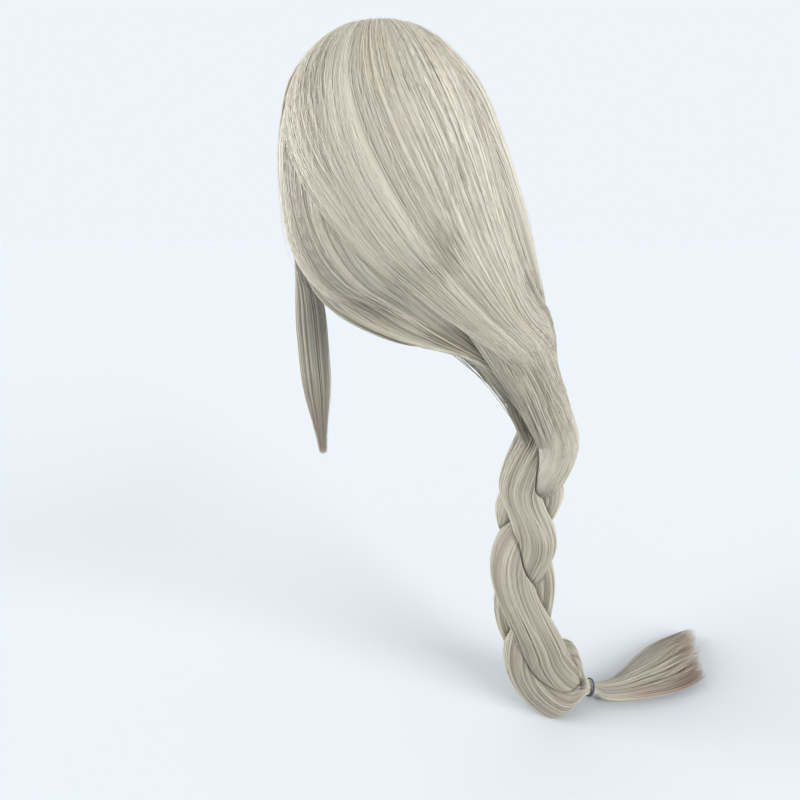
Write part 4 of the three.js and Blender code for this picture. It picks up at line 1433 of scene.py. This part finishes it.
def build_adjusters(word, side):
    """The ear tab, the pocketed tape and the elastic strap of one side."""
    tab = tab_cloth("ear_tab_cloth_" + word, side, (3.0, 3.8), (40, 40), band_cloth, 0.06)
    settle(tab, "cap_net", "ear_flap_" + word, "ear_tab_" + word)
    tape = strap("pocketed_tape_" + word, side, (3, 39), (0, 0.6), ADJUSTER_TALL, (180, 9), elastic_band,
                 humps=8, hump_height=0.35, ribs=4)
    settle(tape, "elastic", "wig", "pocket_tape_" + word)
    band = strap("elastic_strap_" + word, side, (33.5, 62), (1, 1.8), ADJUSTER_TALL - 1, (90, 29),
                 elastic_band, ribs=6)
    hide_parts("adjuster_strap_" + word)
    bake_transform(band)
    dress_node("ear_stay_" + word, stay_plastic)
    dress_node("adjuster_hook_" + word, hook_plastic)


build_lining()
build_wefts()
build_adjusters("left", 1)
build_adjusters("right", -1)


def hang_on_plait(piece):
    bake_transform(piece)


def bend_with_plait(piece):
    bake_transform(piece)


head_pieces = [
    (build_main_fall("main_fall_1", 0.0, 0.21, 101), ["back_fall", "crown_hair"], "hair"),
    (build_main_fall("main_fall_2", 0.20, 0.41, 102), [], "hair"),
    (build_main_fall("main_fall_3", 0.40, 0.61, 103), [], "hair"),
    (build_main_fall("main_fall_4", 0.60, 0.81, 104), [], "hair"),
    (build_main_fall("main_fall_5", 0.80, 1.0, 105), [], "hair"),
    (build_nape_fall("nape_fall_1", 0.0, 0.145, 118), [], "hair"),
    (build_nape_fall("nape_fall_2", 0.14, 0.29, 119), [], "hair"),
    (build_side_fall("side_fall_1", 0.62, 0.82, 112), ["side_fall_right"], "hair"),
    (build_side_fall("side_fall_2", 0.81, 1.0, 122), [], "hair"),
    (build_right_fall("right_fall_1", 0.0, 0.51, 113), ["front_fall_right"], "hair"),
    (build_right_fall("right_fall_2", 0.5, 1.0, 123), [], "hair"),
    (build_nape(), ["nape_layer", "under_layer"], "hair_shaded"),
    (build_shell("main_fall_core", back_sheet, (0.01, 0.985, 150), (0.0, 0.97, 110),
                 (3.2, 4.4), BACK_ACROSS, 31, 41, hair, main_flow, main_sunk, MAIN_ACROSS), [], "hair"),
    (build_shell("nape_fall_core", back_sheet, (0.005, 0.3, 60), (0.0, 0.93, 110),
                 (4.6, 5.8), BACK_ACROSS, 31, 42, hair, sunk=nape_sunk), [], "hair"),
    (build_shell("side_fall_core", back_sheet, (0.6, 1.0, 80), (0.0, 0.97, 110),
                 (4.6, 5.8), BACK_ACROSS, 31, 43, hair, sunk=side_sunk), [], "hair"),
    (build_shell("right_fall_core", right_sheet, (0.0, 0.97, 80), (0.01, 0.93, 100),
                 (4.4, 5.8), RIGHT_ACROSS, 33, 45, hair, sunk=right_sunk), [], "hair"),
    (build_shell("nape_core", back_sheet, (0.02, 0.64, 90), (0.4, 0.9, 70),
                 (12.6, 14.0), BACK_ACROSS, 35, 47, hair_under_painted_shade), [], "hair_shaded"),
]
for piece, nodes, slot in head_pieces:
    if nodes:
        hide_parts(*nodes)
    hang_on_plait(piece)

left_pieces = [
    build_left_fall(),
    build_shell("left_fall_core", left_sheet, (0.0, 1.0, 70), (0.01, 0.9, 70), (5.0, 6.4), LEFT_ACROSS,
                34, 46, hair),
]
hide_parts("side_hair_left", "front_lock_left")
for piece in left_pieces:
    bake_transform(piece)

settle(build_fringe(), "hair", "wig", "fringe_left", "fringe_centre", "fringe_right")

head_wisps = build_head_wisps()
hang_on_plait(head_wisps)

bend_with_plait(build_plait_wisps())
for number, letter in enumerate("abc"):
    halves = [build_plait_strand(letter, number, half) for half in (0, 1)]
    core = build_plait_core(letter, number)
    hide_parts("braid_upper_" + letter, "braid_lower_" + letter)
    for piece in (*halves, core):
        bend_with_plait(piece)

settle(build_tie(), "tie", "braid_lower", "hair_tie")
settle(build_tail_wisps(), "hair_tail", "tail")

tail = build_tail()
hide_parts("tail_tuft_near", "tail_tuft_middle", "tail_tuft_far")
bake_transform(tail)
